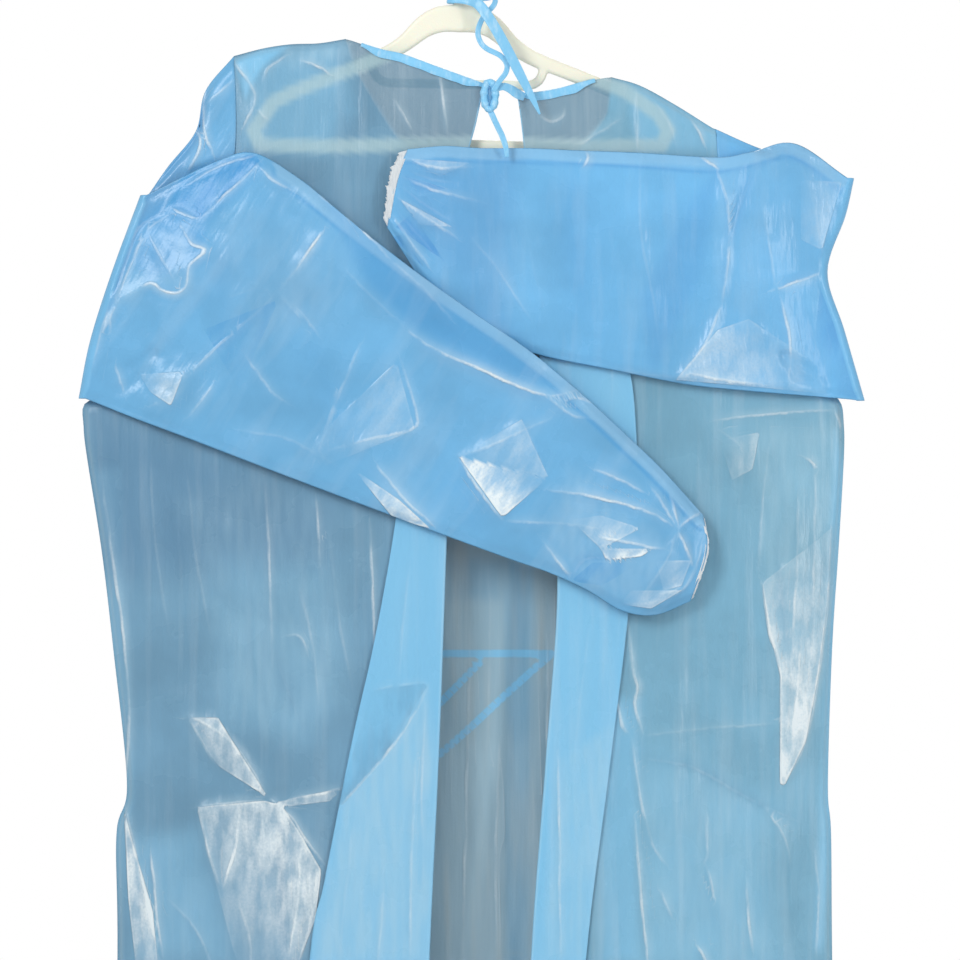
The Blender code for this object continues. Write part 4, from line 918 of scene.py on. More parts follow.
# What shows through the back: the front's scooped neck above air, and the hanger.
NECK_SCOOP = [(-109, -93)] + NECK_FRONT[1:-1] + [(142, -129), (142, -40), (-109, -40)]
HANGER_LINE = [(-176, -153), (-155, -142.5), (-103, -122), (-60, -104), (-34, -82.5), (0, -73.5), (34, -82.5),
               (60, -104), (103, -122), (155, -142.5), (186, -165), (195, -180), (189, -194), (120, -195), (0, -193),
               (-120, -195), (-189, -194), (-195, -180), (-176, -153)]


ROOM, ROOM_LOST_UNDER_SLEEVE = 4.5, 3.7
SEAM_JOINS = 1.2


def room_for_creases(points, neck):
    """How far a panel may leave its plain form, in millimetres: little under a sleeve or beside the binding."""
    covered = np.max([inside(points, outline, 12) for outline in COVERS], axis=0)
    beside_neck = ease((nearest(points, soft_line(neck))[0] - 11) / 10)
    return (ROOM - ROOM_LOST_UNDER_SLEEVE * covered) * (0.12 + 0.88 * beside_neck)


def held_within(height, room):
    """Bends a height softly into what there is room for."""
    return room * np.tanh(height / np.maximum(room, 0.05))


def dress_panel(points, creases, facets, neck, seed):
    """The relief of a body panel: creases and facets, soft long ripples, and a bead beside each seam."""
    relief = Relief(points)
    relief.add_creases(creases)
    relief.add_facets(facets)
    relief.height += (0.8 * ripple(points, 34, 190, seed) + 0.4 * ripple(points, 13, 60, seed + 7)
                      + 0.9 * ripple(points, 55, 75, seed + 3))
    seam = np.min([nearest(points, line)[0] for line in BODY_SEAMS], axis=0)
    relief.joined = ease(seam / SEAM_JOINS)
    relief.height *= ease(seam / 9)
    relief.height += 0.7 * np.exp(-((seam - 5) / 1.6) ** 2)
    # The bead carries a painted highlight.
    relief.raise_tone("pale", 0.35 * np.exp(-((seam - 4) / 2.2) ** 2))
    relief.height = held_within(relief.height, room_for_creases(points, neck))
    return relief


print("sleeves that cover the back:", len(COVERS))

# %% Lay the two halves of the back
ROWS_DOWN = spread((0, 0), (0.02, 8), (ARMHOLE_SHARE, 60), (1, 170))
FLAP_BEND, BEND_RADIUS, BEND_OPENS = 2.0, 1.6, 60
FLAP_ROOM = 0.9


def back_sheet(name, out, armhole, side, shoulder, neck, fold, free_edge, creases, facets, flap_creases, flap_facets,
               seed):
    """One half of the back: the panel, the bend at its opening edge, and the flap that lies back on the panel."""
    across = spread((0, 0), (0.02, 6), (NECK_SHARE_BACK, 54), (1, 66))
    fold_line = soft_line(fold) + np.array([out * FLAP_BEND, 0])
    top = two_curves(soft_line(shoulder), soft_line(neck), NECK_SHARE_BACK, across)
    fold_line[0] = top[-1]
    edge = two_curves(soft_line(armhole), soft_line(side), ARMHOLE_SHARE, ROWS_DOWN)
    hem = along([edge[-1], fold_line[-1]], across)
    panel = stretch(top, hem, edge, along(fold_line, ROWS_DOWN), across, ROWS_DOWN)
    relief = dress_panel(panel, creases, facets, neck, seed)
    scoop = inside(panel, NECK_SCOOP, 2.5)
    relief.raise_tone("grey", 0.8 * scoop)
    relief.raise_tone("bar", 0.7 * ease((9.5 - nearest(panel, np.array(HANGER_LINE, float))[0]) / 6))
    turned = panel[:, -1]
    free = soft_line(free_edge)
    start = free[0, 1]
    free_x = np.interp(-turned[:, 1], -free[:, 1], free[:, 0])
    open_bend = ease((start + BEND_OPENS - turned[:, 1]) / BEND_OPENS)
    width = np.abs(free_x - turned[:, 0]) * open_bend
    under_flap = np.clip(1 - (np.abs(panel[..., 0] - turned[:, None, 0]) - width[:, None]) / 8, 0, 1)
    under_flap *= (width > 1)[:, None]
    relief.height *= 1 - 0.75 * ease(under_flap)
    deep_in = depth(panel, BACK_CROWN, panel=name)
    sheet = [np.dstack([panel[..., 0], -(deep_in + SKIN + relief.height) * relief.joined, panel[..., 1]])]
    tones = [np.dstack(list(relief.tones.values()))]
    # Round the bend and back over the panel; above the flap's start the bend closes to nothing.
    radius = BEND_RADIUS * open_bend
    base_y = sheet[0][:, -1, 1]
    for angle in np.radians(np.arange(22.5, 181, 22.5)):
        bend = np.stack([turned[:, 0] - out * radius * math.sin(angle), base_y - radius * (1 - math.cos(angle)),
                         turned[:, 1]], axis=-1)
        sheet.append(bend[:, None])
        glint = np.zeros((len(bend), 1, len(TONE_NAMES)))
        glint[..., TONE_NAMES.index("pale")] = 0.35
        glint[..., TONE_NAMES.index("fresh")] = 1
        tones.append(glint)
    steps = np.linspace(0, 1, 49)[1:]
    flap = np.stack([turned[:, None, 0] + out * width[:, None] * steps, np.repeat(turned[:, 1:], len(steps), axis=1)],
                    axis=-1)
    turned_relief = Relief(flap)
    turned_relief.add_creases(flap_creases)
    turned_relief.add_facets(flap_facets)
    turned_relief.height += 0.55 * ripple(flap, 26, 150, seed + 31)
    turned_relief.height = held_within(turned_relief.height, FLAP_ROOM) * ease(steps / 0.12)
    turned_relief.raise_tone("fresh", 0.9)
    settle = ease(steps / 0.15)
    lie = base_y[:, None] - 2 * radius[:, None]
    on_panel = -(depth(flap, BACK_CROWN, panel=name) + SKIN + 2 * radius[:, None])
    y = lie * (1 - settle) + on_panel * settle - turned_relief.height
    collapsed = (width < 1)[:, None]
    y = np.where(collapsed, base_y[:, None], y)
    sheet.append(np.dstack([flap[..., 0], y, flap[..., 1]]))
    tones.append(np.dstack(list(turned_relief.tones.values())))
    values = np.concatenate(tones, axis=1)
    named = {tone: values[..., k] for k, tone in enumerate(TONE_NAMES)}
    return laid_grid(name + "_cloth", np.concatenate(sheet, axis=1), named, side=-1)


back_left = back_sheet("back_left", -1, ARMHOLE_LEFT, SIDE_LEFT, SHOULDER_LEFT, NECK_BACK_LEFT, FOLD_LEFT,
                       FLAP_EDGE_LEFT, BACK_LEFT, BACK_LEFT_FACETS, FLAP_LEFT, FLAP_LEFT_FACETS, 3.1)
back_right = back_sheet("back_right", 1, ARMHOLE_RIGHT, SIDE_RIGHT, SHOULDER_RIGHT[::-1], NECK_BACK_RIGHT[::-1],
                        FOLD_RIGHT, FLAP_EDGE_RIGHT, BACK_RIGHT, BACK_RIGHT_FACETS, FLAP_RIGHT, FLAP_RIGHT_FACETS,
                        11.4)
back_left.data.materials.append(body_left_film)
back_right.data.materials.append(body_right_film)

# %% Lay the front
BELT_BAND = [(-165, -681), (-100, -677), (-12, -674), (86, -674)]
BELT_TAIL_LONG = [(84, -676), (50, -706), (-17, -767), (-123, -857), (-150, -905)]
BELT_TAIL_SHORT = [(18, -682), (-15, -716), (-104, -808), (-128, -850)]
BELT_PATHS = (BELT_BAND, BELT_TAIL_LONG, BELT_TAIL_SHORT)
across = spread((0, 0), (0.01, 4), (NECK_SHARE_FRONT, 34), (1 - NECK_SHARE_FRONT, 84), (0.99, 34), (1, 4))
neck_part = np.clip((across - NECK_SHARE_FRONT) / (1 - 2 * NECK_SHARE_FRONT), 0, 1)
top = along(soft_line(NECK_FRONT), neck_part)
left_part, right_part = across < NECK_SHARE_FRONT, across > 1 - NECK_SHARE_FRONT
top[left_part] = along(soft_line(SHOULDER_LEFT), across[left_part] / NECK_SHARE_FRONT)
top[right_part] = along(soft_line(SHOULDER_RIGHT), (across[right_part] - 1 + NECK_SHARE_FRONT) / NECK_SHARE_FRONT)
edge_left = two_curves(soft_line(ARMHOLE_LEFT), soft_line(SIDE_LEFT), ARMHOLE_SHARE, ROWS_DOWN)
edge_right = two_curves(soft_line(ARMHOLE_RIGHT), soft_line(SIDE_RIGHT), ARMHOLE_SHARE, ROWS_DOWN)
panel = stretch(top, along([edge_left[-1], edge_right[-1]], across), edge_left, edge_right, across, ROWS_DOWN)
# The outside of the front creases as the back does, so it takes the back's lower creases, mirrored and moved down.
TWICE_MIDDLE_X, MOVED_DOWN, LOWER_CREASES, LOWER_FACETS = 18, 14, -440, -430
across_from = [Crease([(TWICE_MIDDLE_X - x, z - MOVED_DOWN) for x, z in crease.path], *crease[1:])
               for crease in BACK_LEFT + BACK_RIGHT if crease.path[0][1] < LOWER_CREASES]
facets_across = [Facet([(TWICE_MIDDLE_X - x, z - MOVED_DOWN) for x, z in facet.outline], *facet[1:-1], 0)
                 for facet in BACK_LEFT_FACETS + BACK_RIGHT_FACETS
                 if max(z for x, z in facet.outline) < LOWER_FACETS]
relief = dress_panel(panel, FRONT + across_from, FRONT_FACETS + facets_across, NECK_FRONT, 23.7)
BELT_SHOWS = 3.6
for path in BELT_PATHS:
    relief.raise_tone("stripe", np.clip(0.5 + (BELT_SHOWS - nearest(panel, soft_line(path))[0]) / EDGE_SPAN, 0, 1))
# Between the flaps the front is a single layer, greyer and streaky.
between_flaps = inside(panel, [(-32, -230), (128, -230), (118, -560), (100, HEM_Z), (-48, HEM_Z), (-30, -560)], 24)
relief.raise_tone("grey", 0.95 * between_flaps)
relief.raise_tone("bar", 0.5 * between_flaps * np.clip(ripple(panel, 9, 130, 67.0) - 0.1, 0, 1))
y = (depth(panel, FRONT_CROWN, panel="front") + SKIN + relief.height) * relief.joined
front = laid_grid("front_cloth", np.dstack([panel[..., 0], y, panel[..., 1]]), relief.tones, side=1)
front.data.materials.append(front_film)

# %% [markdown]
# ## The sleeves
# A sleeve is a flat tube. It leaves the armhole, bends round a fold that lies in line with the gown's side, and comes
# back across the body to its cuff. Each ring of points runs once round the tube: down its near layer and up its far
# one. The creases go on the layer that shows, with a gentler ripple on the others.

# %% Prepare the sleeves
FOLDED_HALF = 2.6
SLEEVE_BEND = 6.5
FOLD_RUN = 80


def run_along(lifts, shares):
    """The lift off the back, the rise over the other sleeve and the puff, at shares from fold to cuff."""
    knots = np.array(lifts)
    place = np.clip(np.searchsorted(knots[:, 0], shares, side="right") - 1, 0, len(knots) - 2)
    t = ease((shares - knots[place, 0]) / (knots[place + 1, 0] - knots[place, 0]))[:, None]
    return (knots[place, 1:] * (1 - t) + knots[place + 1, 1:] * t).T


def top_band(points, line, relief, start):
    """The seam band along a sleeve's top edge: a raised paler strip with a dark line below it."""
    away, share = nearest(points, line)
    shown = ease((share - start) / 0.06)
    away = away + 40 * (1 - shown)
    band = ease((11.5 - away) / 1.5)
    relief.height += 0.45 * band
    relief.raise_tone("pale", 0.3 * band)
    relief.raise_tone("deep", 0.5 * np.exp(-((away - 13.5) / 1.8) ** 2))


def depth_share(points, crown, share):
    """The hollow's depth where the crown fades towards a sleeve's fold."""
    plain = depth(points, crown, 0)
    return plain + (depth(points, crown, 1) - plain) * share


print("half a folded sleeve's depth, in mm:", FOLDED_HALF + HALF_GAP + SKIN)


# %% Lay the sleeves
def sleeve_sheet(name, sleeve, creases, facets, seed, turn):
    """A sleeve from its armhole round the fold to its cuff, and its rings of points."""
    out, bend_radius = sleeve.out, SLEEVE_BEND
    round_share = np.concatenate([[0, 0.004, 0.012, 0.022, 0.035], np.linspace(0.05, 0.95, 62),
                                  [0.965, 0.978, 0.988, 0.996, 1]])
    fold = soft_line(sleeve.fold)
    length = np.linalg.norm(fold[0] - fold[-1])
    edge = np.minimum(round_share, 1 - round_share) * length
    bulge = np.where(edge > 0, HALF_GAP + SKIN + FOLDED_HALF * ease((edge - FLAT_SEAM) / 9), 0)
    axis_edge = along(fold, round_share)
    axis_edge[:, 0] -= out * (bend_radius + bulge)
    armhole_line = soft_line(sleeve.armhole)
    past = np.clip(round_share - 0.84, 0, 1) / 0.16
    armhole = along(armhole_line, round_share - past * 0.025)
    # From the armhole out to the fold.
    down = np.linspace(0, 1, 46)
    flat = stretch(armhole, axis_edge, along(soft_line(np.vstack([sleeve.top[:-1], axis_edge[:1]])), down),
                   along([armhole[-1], axis_edge[-1]], down), round_share, down)
    relief = Relief(flat)
    relief.add_creases(creases)
    relief.add_facets(facets)
    top_band(flat, soft_line(sleeve.top), relief, 2.0)
    share = (1 - ease(down))[:, None]
    inner = np.minimum(round_share, 1 - round_share)
    open_edge = (ease(inner / 0.012) * SKIN)[None]
    spread_out = (inner > 0)[None]
    front_side = (depth_share(flat, FRONT_CROWN, share) + open_edge) * spread_out
    back_side = (depth_share(flat, BACK_CROWN, share) + open_edge) * spread_out
    wave = 0.6 * ripple(flat, 40, 26, seed, turn) * ease(inner / 0.06)[None]
    near = held_within(relief.height + wave, 2.5) * ease(inner / 0.03)[None] * ease(down / 0.15)[:, None]
    front_part = np.dstack([flat[..., 0], front_side + 0.5 * wave, flat[..., 1]])
    back_part = np.dstack([flat[..., 0], -(back_side + near), flat[..., 1]])
    blank = {tone: np.zeros(flat.shape[:-1]) for tone in TONE_NAMES}
    front_all, back_all = [front_part], [back_part]
    front_tones, back_tones = [blank], [relief.tones]
    # Round the fold.
    for angle in np.radians(np.arange(15, 170, 15)):
        for reach, side in ((bend_radius + bulge, front_all), (bend_radius - bulge, back_all)):
            side.append(np.stack([axis_edge[:, 0] + out * reach * math.sin(angle),
                                  reach * math.cos(angle) - bend_radius, axis_edge[:, 1]], axis=-1)[None])
        for side in (front_tones, back_tones):
            side.append({tone: np.full((1, len(round_share)), 0.3 if tone == "fresh" else 0.0) for tone in blank})
    # Back across the body to the cuff.
    down = spread((0, 0), (0.92, 128), (1, 22))
    over_top = along(soft_line(np.vstack([axis_edge[:1], sleeve.over_top[1:]])), down)
    over_low = along(soft_line(np.vstack([axis_edge[-1:], sleeve.over_low[1:]])), down)
    cuff = along(soft_line(sleeve.cuff), round_share)
    flat = stretch(axis_edge, cuff, over_top, over_low, round_share, down)
    relief = Relief(flat)
    relief.add_creases(creases)
    relief.add_facets(facets)
    top_band(flat, over_top, relief, 0.16 if out < 0 else -1.0)
    lift, over, puff = (values[:, None] for values in run_along(sleeve.lifts, down))
    run = np.linalg.norm(flat - axis_edge[None], axis=-1)
    swell = puff * np.sin(math.pi * round_share)[None]
    width = np.linalg.norm(over_top - over_low, axis=-1)[:, None]
    edge = np.minimum(round_share, 1 - round_share)[None] * width
    layer = HALF_GAP + FOLDED_HALF * ease((edge - FLAT_SEAM) / 9) + SKIN * ease(edge / 1.5)
    half = np.where(edge > 0, layer, 0) + swell
    body = depth(flat, BACK_CROWN) + lift + over * (1 - ease(round_share / 0.3))[None] + swell
    middle = -(2 * bend_radius + (body - 2 * bend_radius) * ease(run / FOLD_RUN))
    long_waves = 1.1 * ripple(flat, 90, 24, seed + 5, turn) + 0.5 * ripple(flat, 30, 12, seed + 9, turn)
    near = np.clip(relief.height + long_waves, -2.2, 7) * ease(edge / 5)
    far = held_within(0.8 * long_waves, 0.7) * ease(edge / 8)
    front_all.append(np.dstack([flat[..., 0], middle - half - near, flat[..., 1]]))
    back_all.append(np.dstack([flat[..., 0], middle + half + far, flat[..., 1]]))
    front_tones.append(relief.tones)
    back_tones.append({tone: np.zeros(flat.shape[:-1]) for tone in blank})
    rings = np.concatenate([np.concatenate(front_all), np.concatenate(back_all)[:, -2::-1]], axis=1)
    tones = {tone: np.concatenate([np.concatenate([part[tone] for part in front_tones]),
                                   np.concatenate([part[tone] for part in back_tones])[:, -2::-1]], axis=1)
             for tone in blank}
    return laid_grid(name + "_cloth", rings, tones), rings


sleeve_left, rings_left = sleeve_sheet("sleeve_left", SLEEVES["sleeve_left"], SLEEVE_LEFT, SLEEVE_LEFT_FACETS, 41.3,
                                       math.radians(-33))
sleeve_right, rings_right = sleeve_sheet("sleeve_right", SLEEVES["sleeve_right"], SLEEVE_RIGHT, SLEEVE_RIGHT_FACETS,
                                         57.9, 0.0)
sleeve_left.data.materials.append(sleeve_left_film)
sleeve_right.data.materials.append(sleeve_right_film)

# %% [markdown]
# ## Cuffs, binding and ties
# A white elastic is stitched in each cuff, and its torn-looking edge shows beyond the film. It is a short tube that
# goes on from the sleeve's last ring, and zigzags in and out. The neck binding is one strip folded over the raw edge.
# The ties are its free ends: soft flat tubes swept along their way, as is the knot.

# %% Gather the cuff elastics
elastic_white = bpy.data.materials.new("white elastic")
elastic_white.use_nodes = True
weave = elastic_white.node_tree.nodes
wire = elastic_white.node_tree.links.new
rib = weave.new("ShaderNodeTexWave")
rib.inputs["Scale"].default_value = 260
rib.inputs["Distortion"].default_value = 3
place = weave.new("ShaderNodeTexCoord")
wire(place.outputs["Object"], rib.inputs["Vector"])
rib_bump = weave.new("ShaderNodeBump")
rib_bump.inputs["Distance"].default_value = 0.0006
wire(rib.outputs["Fac"], rib_bump.inputs["Height"])
rib_tone = weave.new("ShaderNodeMix")
rib_tone.data_type = "RGBA"
rib_tone.inputs["A"].default_value = tint(214, 226, 234)
rib_tone.inputs["B"].default_value = tint(246, 249, 250)
wire(rib.outputs["Fac"], rib_tone.inputs["Factor"])
wire(rib_tone.outputs["Result"], weave["Principled BSDF"].inputs["Base Color"])
wire(rib_bump.outputs["Normal"], weave["Principled BSDF"].inputs["Normal"])
weave["Principled BSDF"].inputs["Roughness"].default_value = 0.75


def cuff_elastic(name, rings, seed, shows):
    """A short tube inside a sleeve's last ring, with a ragged edge that shows by some millimetres."""
    last, before = rings[-1], rings[-4]
    onward = last - before
    onward /= np.linalg.norm(onward, axis=1)[:, None]
    middle = last.mean(axis=0)
    around = np.linspace(0, 1, len(last))
    rows = []
    ragged = np.array([noise.noise((share * 34, seed, 0)) + 0.6 * noise.noise((share * 90, seed, 3))
                       for share in around])
    sway = np.array([noise.noise((share * 16, seed, 7)) for share in around])
    ragged[-1], sway[-1] = ragged[0], sway[0]
    for reach in np.linspace(0, 1, 9):
        out = -2.0 + (shows + 2.0) * reach + shows * 0.55 * ragged * reach
        pull = 0.97 - 0.03 * reach
        rows.append(middle + (last - middle) * pull + onward * out[:, None]
                    + np.array([0, -1, 0]) * (1.6 * sway * reach)[:, None])
    tube = laid_grid(name + "_cloth", np.array(rows), thickness=0.5)
    tube.data.materials.append(elastic_white)
    return tube


elastic_left = cuff_elastic("cuff_elastic_left", rings_left, 2.0, 2.0)
elastic_right = cuff_elastic("cuff_elastic_right", rings_right, 5.0, 6.5)


# %% Fold the binding over the neck
BINDING_REACH = 7.2
BINDING_STEP = 1.2


def binding(name, neck, crown, side, start, end, seed):
    """A strip folded over a neck edge. It stops start and end millimetres short of the edge's two ends."""
    line = soft_line(neck)
    length = np.linalg.norm(np.diff(line, axis=0), axis=1).sum()
    count = int((length - start - end) / BINDING_STEP)
    shares = (start + (length - start - end) * np.arange(count + 1) / count) / length
    middle = along(line, shares)
    onward = along(line, np.minimum(shares + 0.01, 1)) - along(line, np.maximum(shares - 0.01, 0))
    onward /= np.linalg.norm(onward, axis=1)[:, None]
    into = np.stack([onward[:, 1], -onward[:, 0]], axis=-1)
    # Reach onto the panel and lift off it: over the outside, round the raw edge, and back along the inside.
    profile = ([(reach, 1.9) for reach in (BINDING_REACH, 6.9, 5.6, 4.4, 3.2, 2, 1, 0.3)]
               + [(-0.5, 1.5), (-0.9, 0.6), (-0.5, -0.4)]
               + [(reach, -0.7) for reach in (0.3, 2, 4, 5.6, 6.9, BINDING_REACH)])
    narrow = 0.35 + 0.65 * ease(np.minimum(shares - shares[0], shares[-1] - shares) * length / 22)
    puckers = 0.45 * np.array([noise.noise((share * length / 3.2, seed, 0)) for share in shares])
    wander = 0.5 * np.array([noise.noise((share * length / 12, seed, 4)) for share in shares])
    columns = []
    for reach, lift in profile:
        spot = middle + into * (reach * (narrow if reach > 0 else 1) + wander * (reach > 2))[:, None]
        outer = 1.0 if lift > 1 else 0.0
        crest = math.sin(math.pi * min(max(reach / BINDING_REACH, 0), 1))
        y = depth(spot, crown) + lift + outer * puckers * (0.4 + crest) + outer * 0.5 * crest
        columns.append(np.stack([spot[:, 0], side * y, spot[:, 1]], axis=-1))
    points = np.stack(columns, axis=1)
    # The crests of the puckers carry a painted highlight.
    pale = np.clip(puckers[:, None] * 1.1, 0, 0.5) * np.ones(points.shape[:2])
    strip = laid_grid(name + "_cloth", points, {"pale": pale, "deep": np.clip(-pale, 0, 1), "grey": pale * 0,
                                                "fresh": pale * 0 + 0.5}, thickness=0.3)
    strip.data.materials.append(trim_film)
    return strip


binding_left = binding("binding_back_left", NECK_BACK_LEFT, BACK_CROWN, -1, 16, 0.3, 3.0)
binding_right = binding("binding_back_right", NECK_BACK_RIGHT, BACK_CROWN, -1, 0.3, 16, 7.0)
binding_front = binding("binding_front", NECK_FRONT, FRONT_CROWN, 1, 20, 20, 9.0)

# %% Sweep the neck ties
# Each row is a point and the tie's width there, in millimetres.
TIE_UP = [(30.5, -22.3, -144, 5), (36, -23, -135, 5), (42, -24, -127, 5), (43, -24.5, -119, 5), (37, -24, -111, 5),
          (24, -22, -104, 5), (18, -20, -97, 5), (16, -18, -87, 5), (21, -16, -74, 5), (31, -12, -62, 5),
          (31, -3, -54.5, 5), (21, 6, -54, 5), (6, 10, -55, 5), (-9, 7, -56, 6), (-13, -2, -56, 7), (-8, -10, -56, 8),
          (6, -14, -57.5, 9), (17, -20.5, -63, 10), (29, -25.5, -80, 10), (42, -27.5, -103, 10), (56, -27.5, -130, 9),
          (67, -26.5, -151, 6), (74, -26, -166, 2)]
TIE_DOWN = [(28, -19.8, -163.3, 5.5), (31, -22.5, -170, 5.5), (35, -28, -179, 5.5), (39, -33.5, -188, 5.5),
            (42, -36.5, -198, 5), (43, -37, -207, 4)]
TIE_BRIDGE = [(60, -16.2, -149.5, 7), (53, -17.2, -146, 9), (46, -18.6, -141.5, 8), (40, -19.6, -139.5, 7),
              (34, -20.2, -141, 6)]


def tie(name, strands, seed, thick=1.2):
    """A flat tie swept along its points: two folded layers with a groove where they meet."""
    path = soft_line(strands, 12)
    side = None
    towards = Vector((0, 1, 0))
    rings = []
    turns = np.linspace(0, 2 * math.pi, 25)
    for index, point in enumerate(path):
        onward = Vector(path[min(index + 1, len(path) - 1)][:3]) - Vector(path[max(index - 1, 0)][:3])
        onward.normalize()
        faced = onward.cross(towards)
        if side is None:
            side = faced.normalized()
        # The broad side turns to face out from the gown, and only rolls where the tie runs front to back.
        if faced.length > 0.35:
            faced = faced.normalized() * (1 if faced.dot(side) > 0 else -1)
            side = side.lerp(faced, 0.25)
        side = (side - onward * side.dot(onward)).normalized()
        thin = onward.cross(side)
        centre, width = Vector(point[:3]), point[3]
        pucker = 0.25 * noise.noise((index * 0.35, seed, 0))
        ring = []
        for turn in turns:
            across = math.cos(turn)
            wide = math.copysign(abs(across) ** 0.6, across) * width / 2
            round_off = math.copysign(abs(math.sin(turn)) ** 0.7, math.sin(turn)) * thick / 2
            groove = 1 - 0.45 * math.exp(-(across / 0.12) ** 2)
            wave = pucker * math.sin(3 * across + index * 0.2)
            ring.append(centre + side * wide + thin * (round_off * groove + wave))
        rings.append(ring)
    points = np.array(rings)
    glint = np.array([[0.3 * max(0, noise.noise((i * 0.2, j * 0.9, seed))) for j in range(len(turns))]
                      for i in range(len(path))])
    glint[:, -1] = glint[:, 0]
    strand = laid_grid(name + "_cloth", points, {"pale": glint, "deep": glint * 0, "grey": glint * 0,
                                                 "fresh": glint * 0 + 0.4}, thickness=0)
    ends = bmesh.new()
    ends.from_mesh(strand.data)
    bmesh.ops.holes_fill(ends, edges=[edge for edge in ends.edges if edge.is_boundary])
    bmesh.ops.recalc_face_normals(ends, faces=ends.faces)
    ends.to_mesh(strand.data)
    ends.free()
    strand.data.shade_smooth()
    strand.data.materials.append(trim_film)
    return strand


tie_left = tie("tie_left", TIE_UP, 1.0)
tie_right_end = tie("tie_right_end", TIE_DOWN, 2.0)
tie_right = tie("tie_right", TIE_BRIDGE, 3.0)

# %% Wrap the knot
# The tie wrapped round itself as an oval ring, in line with the gown's opening, and a dark disc in the ring that is
# painted shade in the knot's hollow.
KNOT_X, KNOT_Z = 27, -148
around, tube = np.linspace(0, 2 * math.pi, 97), np.linspace(0, 2 * math.pi, 25)
ring_x, ring_z = 5.4 * np.cos(around), 12.6 * np.sin(around)
out_x, out_z = 12.6 * np.cos(around), 5.4 * np.sin(around)
scale = np.hypot(out_x, out_z)
wraps = 1 + 0.1 * np.sin(around * 7) + 0.06 * np.sin(around * 13 + 1)
bar = 3.5 * wraps[:, None] * np.ones(len(tube))
knot_points = np.dstack([KNOT_X + ring_x[:, None] + (out_x / scale)[:, None] * np.cos(tube) * bar,
                         -19.1 + np.sin(tube) * bar,
                         KNOT_Z + ring_z[:, None] + (out_z / scale)[:, None] * np.cos(tube) * bar])
# The wraps carry a painted highlight.
knot_highlight = np.clip(0.2 * np.sin(around * 7)[:, None] * np.ones(len(tube)), 0, 1)
knot = laid_grid("neck_knot_cloth", knot_points, {"pale": knot_highlight, "deep": knot_highlight * 0, "grey": knot_highlight * 0,
                                                  "fresh": knot_highlight * 0 + 0.6}, thickness=0)
knot.data.materials.append(trim_film)

# The dark disc: painted shade where the knot's hollow lies.
knot_shade = np.dstack([KNOT_X + np.outer(np.linspace(0.02, 1, 9), 4.6 * np.cos(around)),
                  -18.6 + np.outer(np.linspace(0, 1, 9), 0.6 * np.cos(3 * around)),
                  KNOT_Z + np.outer(np.linspace(0.02, 1, 9), 11.6 * np.sin(around))])
knot_shade = laid_grid("neck_knot_shade", knot_shade, {"deep": np.ones(knot_shade.shape[:2])}, side=-1, thickness=1.2)
knot_shade.data.materials.append(trim_film)

# %% [markdown]
# ## The belt
# The belt lies on the outside of the front, so from behind it is seen through one or two layers of film. The front's
# `stripe` tone draws it there as a bluer line, and the strips themselves show from the front.

# %% Lay the belt
BELT_HALF, BELT_OFF = 5.5, 4.6
belt_film = film("belt film", (120, 182, 222), (70, 126, 176), GREY, FRESH, 1.0, 0.36, (0.004, 0.01), rumple=0.3)


def belt_strip(name, path, lift):
    """A flat strip on the outside of the front, lifted a little more where it crosses another."""
    line = soft_line(path)
    length = np.linalg.norm(np.diff(line, axis=0), axis=1).sum()
    shares = np.linspace(0, 1, int(length / 2.5))
    middle = along(line, shares)
    onward = along(line, np.minimum(shares + 0.01, 1)) - along(line, np.maximum(shares - 0.01, 0))
    onward /= np.linalg.norm(onward, axis=1)[:, None]
    across = np.stack([-onward[:, 1], onward[:, 0]], axis=-1)
    columns = []
    for reach in np.linspace(-BELT_HALF, BELT_HALF, 9):
        spot = middle + across * reach
        crowned = 0.3 * math.cos(reach / BELT_HALF * math.pi)
        y = depth(spot, FRONT_CROWN, panel="front") + BELT_OFF + lift + crowned
        columns.append(np.stack([spot[:, 0], y, spot[:, 1]], axis=-1))
    strip = laid_grid(name + "_cloth", np.stack(columns, axis=1), side=1, thickness=0.6)
    strip.data.materials.append(belt_film)
    return strip


belt_band = belt_strip("belt_band", BELT_BAND, 0.0)
belt_long = belt_strip("belt_tail_long", BELT_TAIL_LONG, 1.2)
belt_short = belt_strip("belt_tail_short", BELT_TAIL_SHORT, 2.4)

# %% [markdown]
# ## The hanger
# The hanger is one plastic moulding. A copy of the solid is fused by a voxel remesh, which rounds its corners as the
# mould does, and a few rounds of smoothing take the steps out.

# %% Mix the hanger's plastic
ivory = bpy.data.materials.new("ivory plastic")
ivory.use_nodes = True
moulding = ivory.node_tree.nodes
wire = ivory.node_tree.links.new
ivory_shader = moulding["Principled BSDF"]
place = moulding.new("ShaderNodeTexCoord")
cloudy = moulding.new("ShaderNodeTexNoise")
cloudy.inputs["Scale"].default_value = 18
wire(place.outputs["Object"], cloudy.inputs["Vector"])
cream = moulding.new("ShaderNodeMix")
cream.data_type = "RGBA"
cream.inputs["A"].default_value = tint(228, 226, 206)
cream.inputs["B"].default_value = tint(238, 237, 220)
wire(cloudy.outputs["Fac"], cream.inputs["Factor"])
wire(cream.outputs["Result"], ivory_shader.inputs["Base Color"])
grain = moulding.new("ShaderNodeTexNoise")
grain.inputs["Scale"].default_value = 900
wire(place.outputs["Object"], grain.inputs["Vector"])
grain_bump = moulding.new("ShaderNodeBump")
grain_bump.inputs["Distance"].default_value = 0.00015
wire(grain.outputs["Fac"], grain_bump.inputs["Height"])
wire(grain_bump.outputs["Normal"], ivory_shader.inputs["Normal"])
ivory_shader.inputs["Roughness"].default_value = 0.38
ivory_shader.inputs["Subsurface Weight"].default_value = 0.08
ivory_shader.inputs["Subsurface Scale"].default_value = 0.004
print("plastic:", ivory.name)

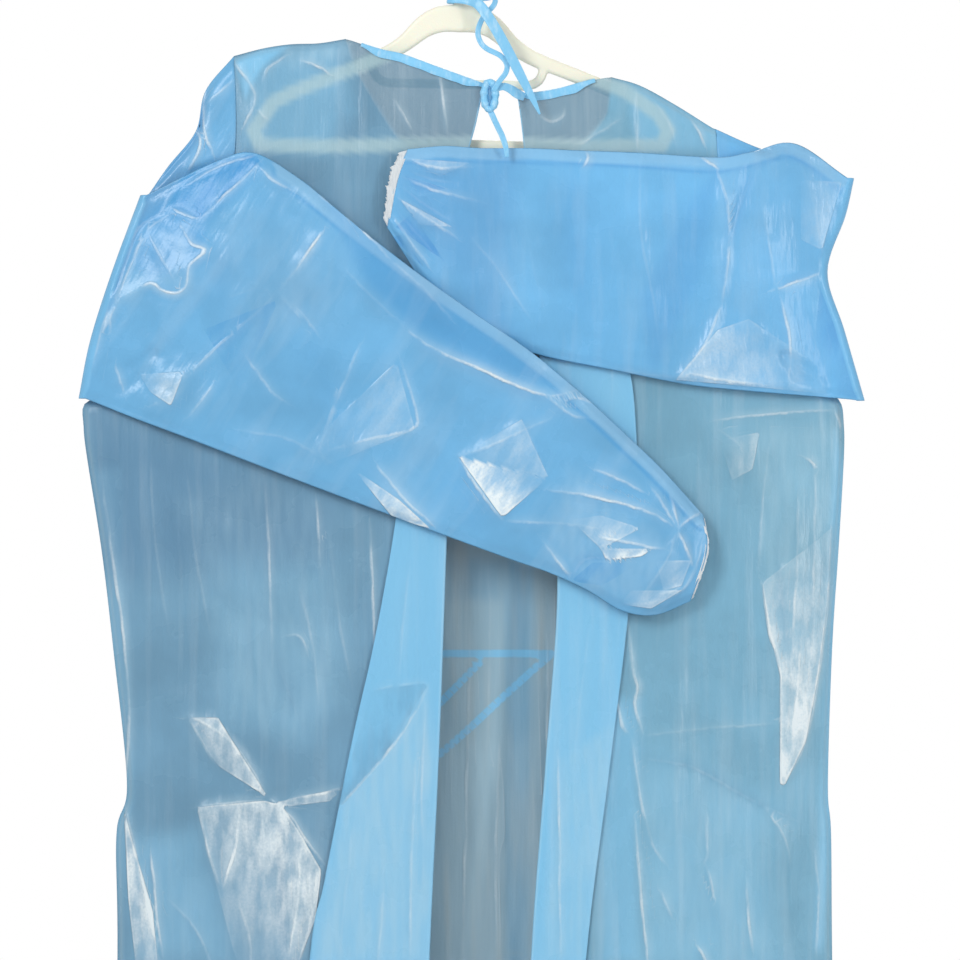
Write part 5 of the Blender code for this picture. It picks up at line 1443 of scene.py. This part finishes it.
# %% Mould the hanger
VOXEL = 1.2
hanger = bpy.data.objects.new("hanger_moulding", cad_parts["hanger"].data.copy())
bpy.context.scene.collection.objects.link(hanger)
form = bmesh.new()
form.from_mesh(hanger.data)
bmesh.ops.remove_doubles(form, verts=form.verts, dist=0.01 * MM)
form.to_mesh(hanger.data)
form.free()
fuse = hanger.modifiers.new("fuse", "REMESH")
fuse.mode = "VOXEL"
fuse.voxel_size = VOXEL * MM
smooth = hanger.modifiers.new("smooth", "SMOOTH")
smooth.iterations = 6
smooth.factor = 0.5
fused = bpy.data.meshes.new_from_object(hanger.evaluated_get(bpy.context.evaluated_depsgraph_get()))
hanger.modifiers.clear()
hanger.data = fused
hanger.data.name = "hanger_moulding"
hanger.data.materials.clear()
hanger.data.materials.append(ivory)
hanger.data.shade_smooth()
print("hanger faces:", len(fused.polygons))

# %% [markdown]
# ## The floor, and handing the pieces over
# A plain pale floor lies below the gown. Each piece is then hung under the gown's root, and the solid that it stands
# for is hidden.

# %% Put the floor down
FLOOR_Z = -1.42
bpy.ops.mesh.primitive_plane_add(size=3, location=(0, 0, FLOOR_Z))
floor = bpy.context.object
floor.name = "floor"
pale_floor = bpy.data.materials.new("pale floor")
pale_floor.use_nodes = True
pale_floor.node_tree.nodes["Principled BSDF"].inputs["Base Color"].default_value = (0.86, 0.86, 0.86, 1)
pale_floor.node_tree.nodes["Principled BSDF"].inputs["Roughness"].default_value = 0.9
floor.data.materials.append(pale_floor)
print("floor at", FLOOR_Z, "m")

# %% Hand the pieces over
PIECES = [
    (front, "front", "body_film"), (back_left, "back_left", "body_film"), (back_right, "back_right", "body_film"),
    (sleeve_left, "sleeve_left", "sleeve_film"), (sleeve_right, "sleeve_right", "sleeve_film"),
    (elastic_left, "cuff_elastic_left", "elastic"), (elastic_right, "cuff_elastic_right", "elastic"),
    (binding_left, "binding_back_left", "trim_film"), (binding_right, "binding_back_right", "trim_film"),
    (binding_front, "binding_front", "trim_film"), (tie_left, "tie_left", "trim_film"),
    (tie_right, "tie_right", "trim_film"), (tie_right_end, "tie_right_end", "trim_film"),
    (knot, "neck_knot", "trim_film"), (belt_band, "belt_band", "trim_film"),
    (belt_long, "belt_tail_long", "trim_film"), (belt_short, "belt_tail_short", "trim_film"),
    (hanger, "hanger", "hanger_plastic")]
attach(knot_shade, "root")
for piece, node, slot in PIECES:
    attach(piece, "root")
    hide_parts(node)
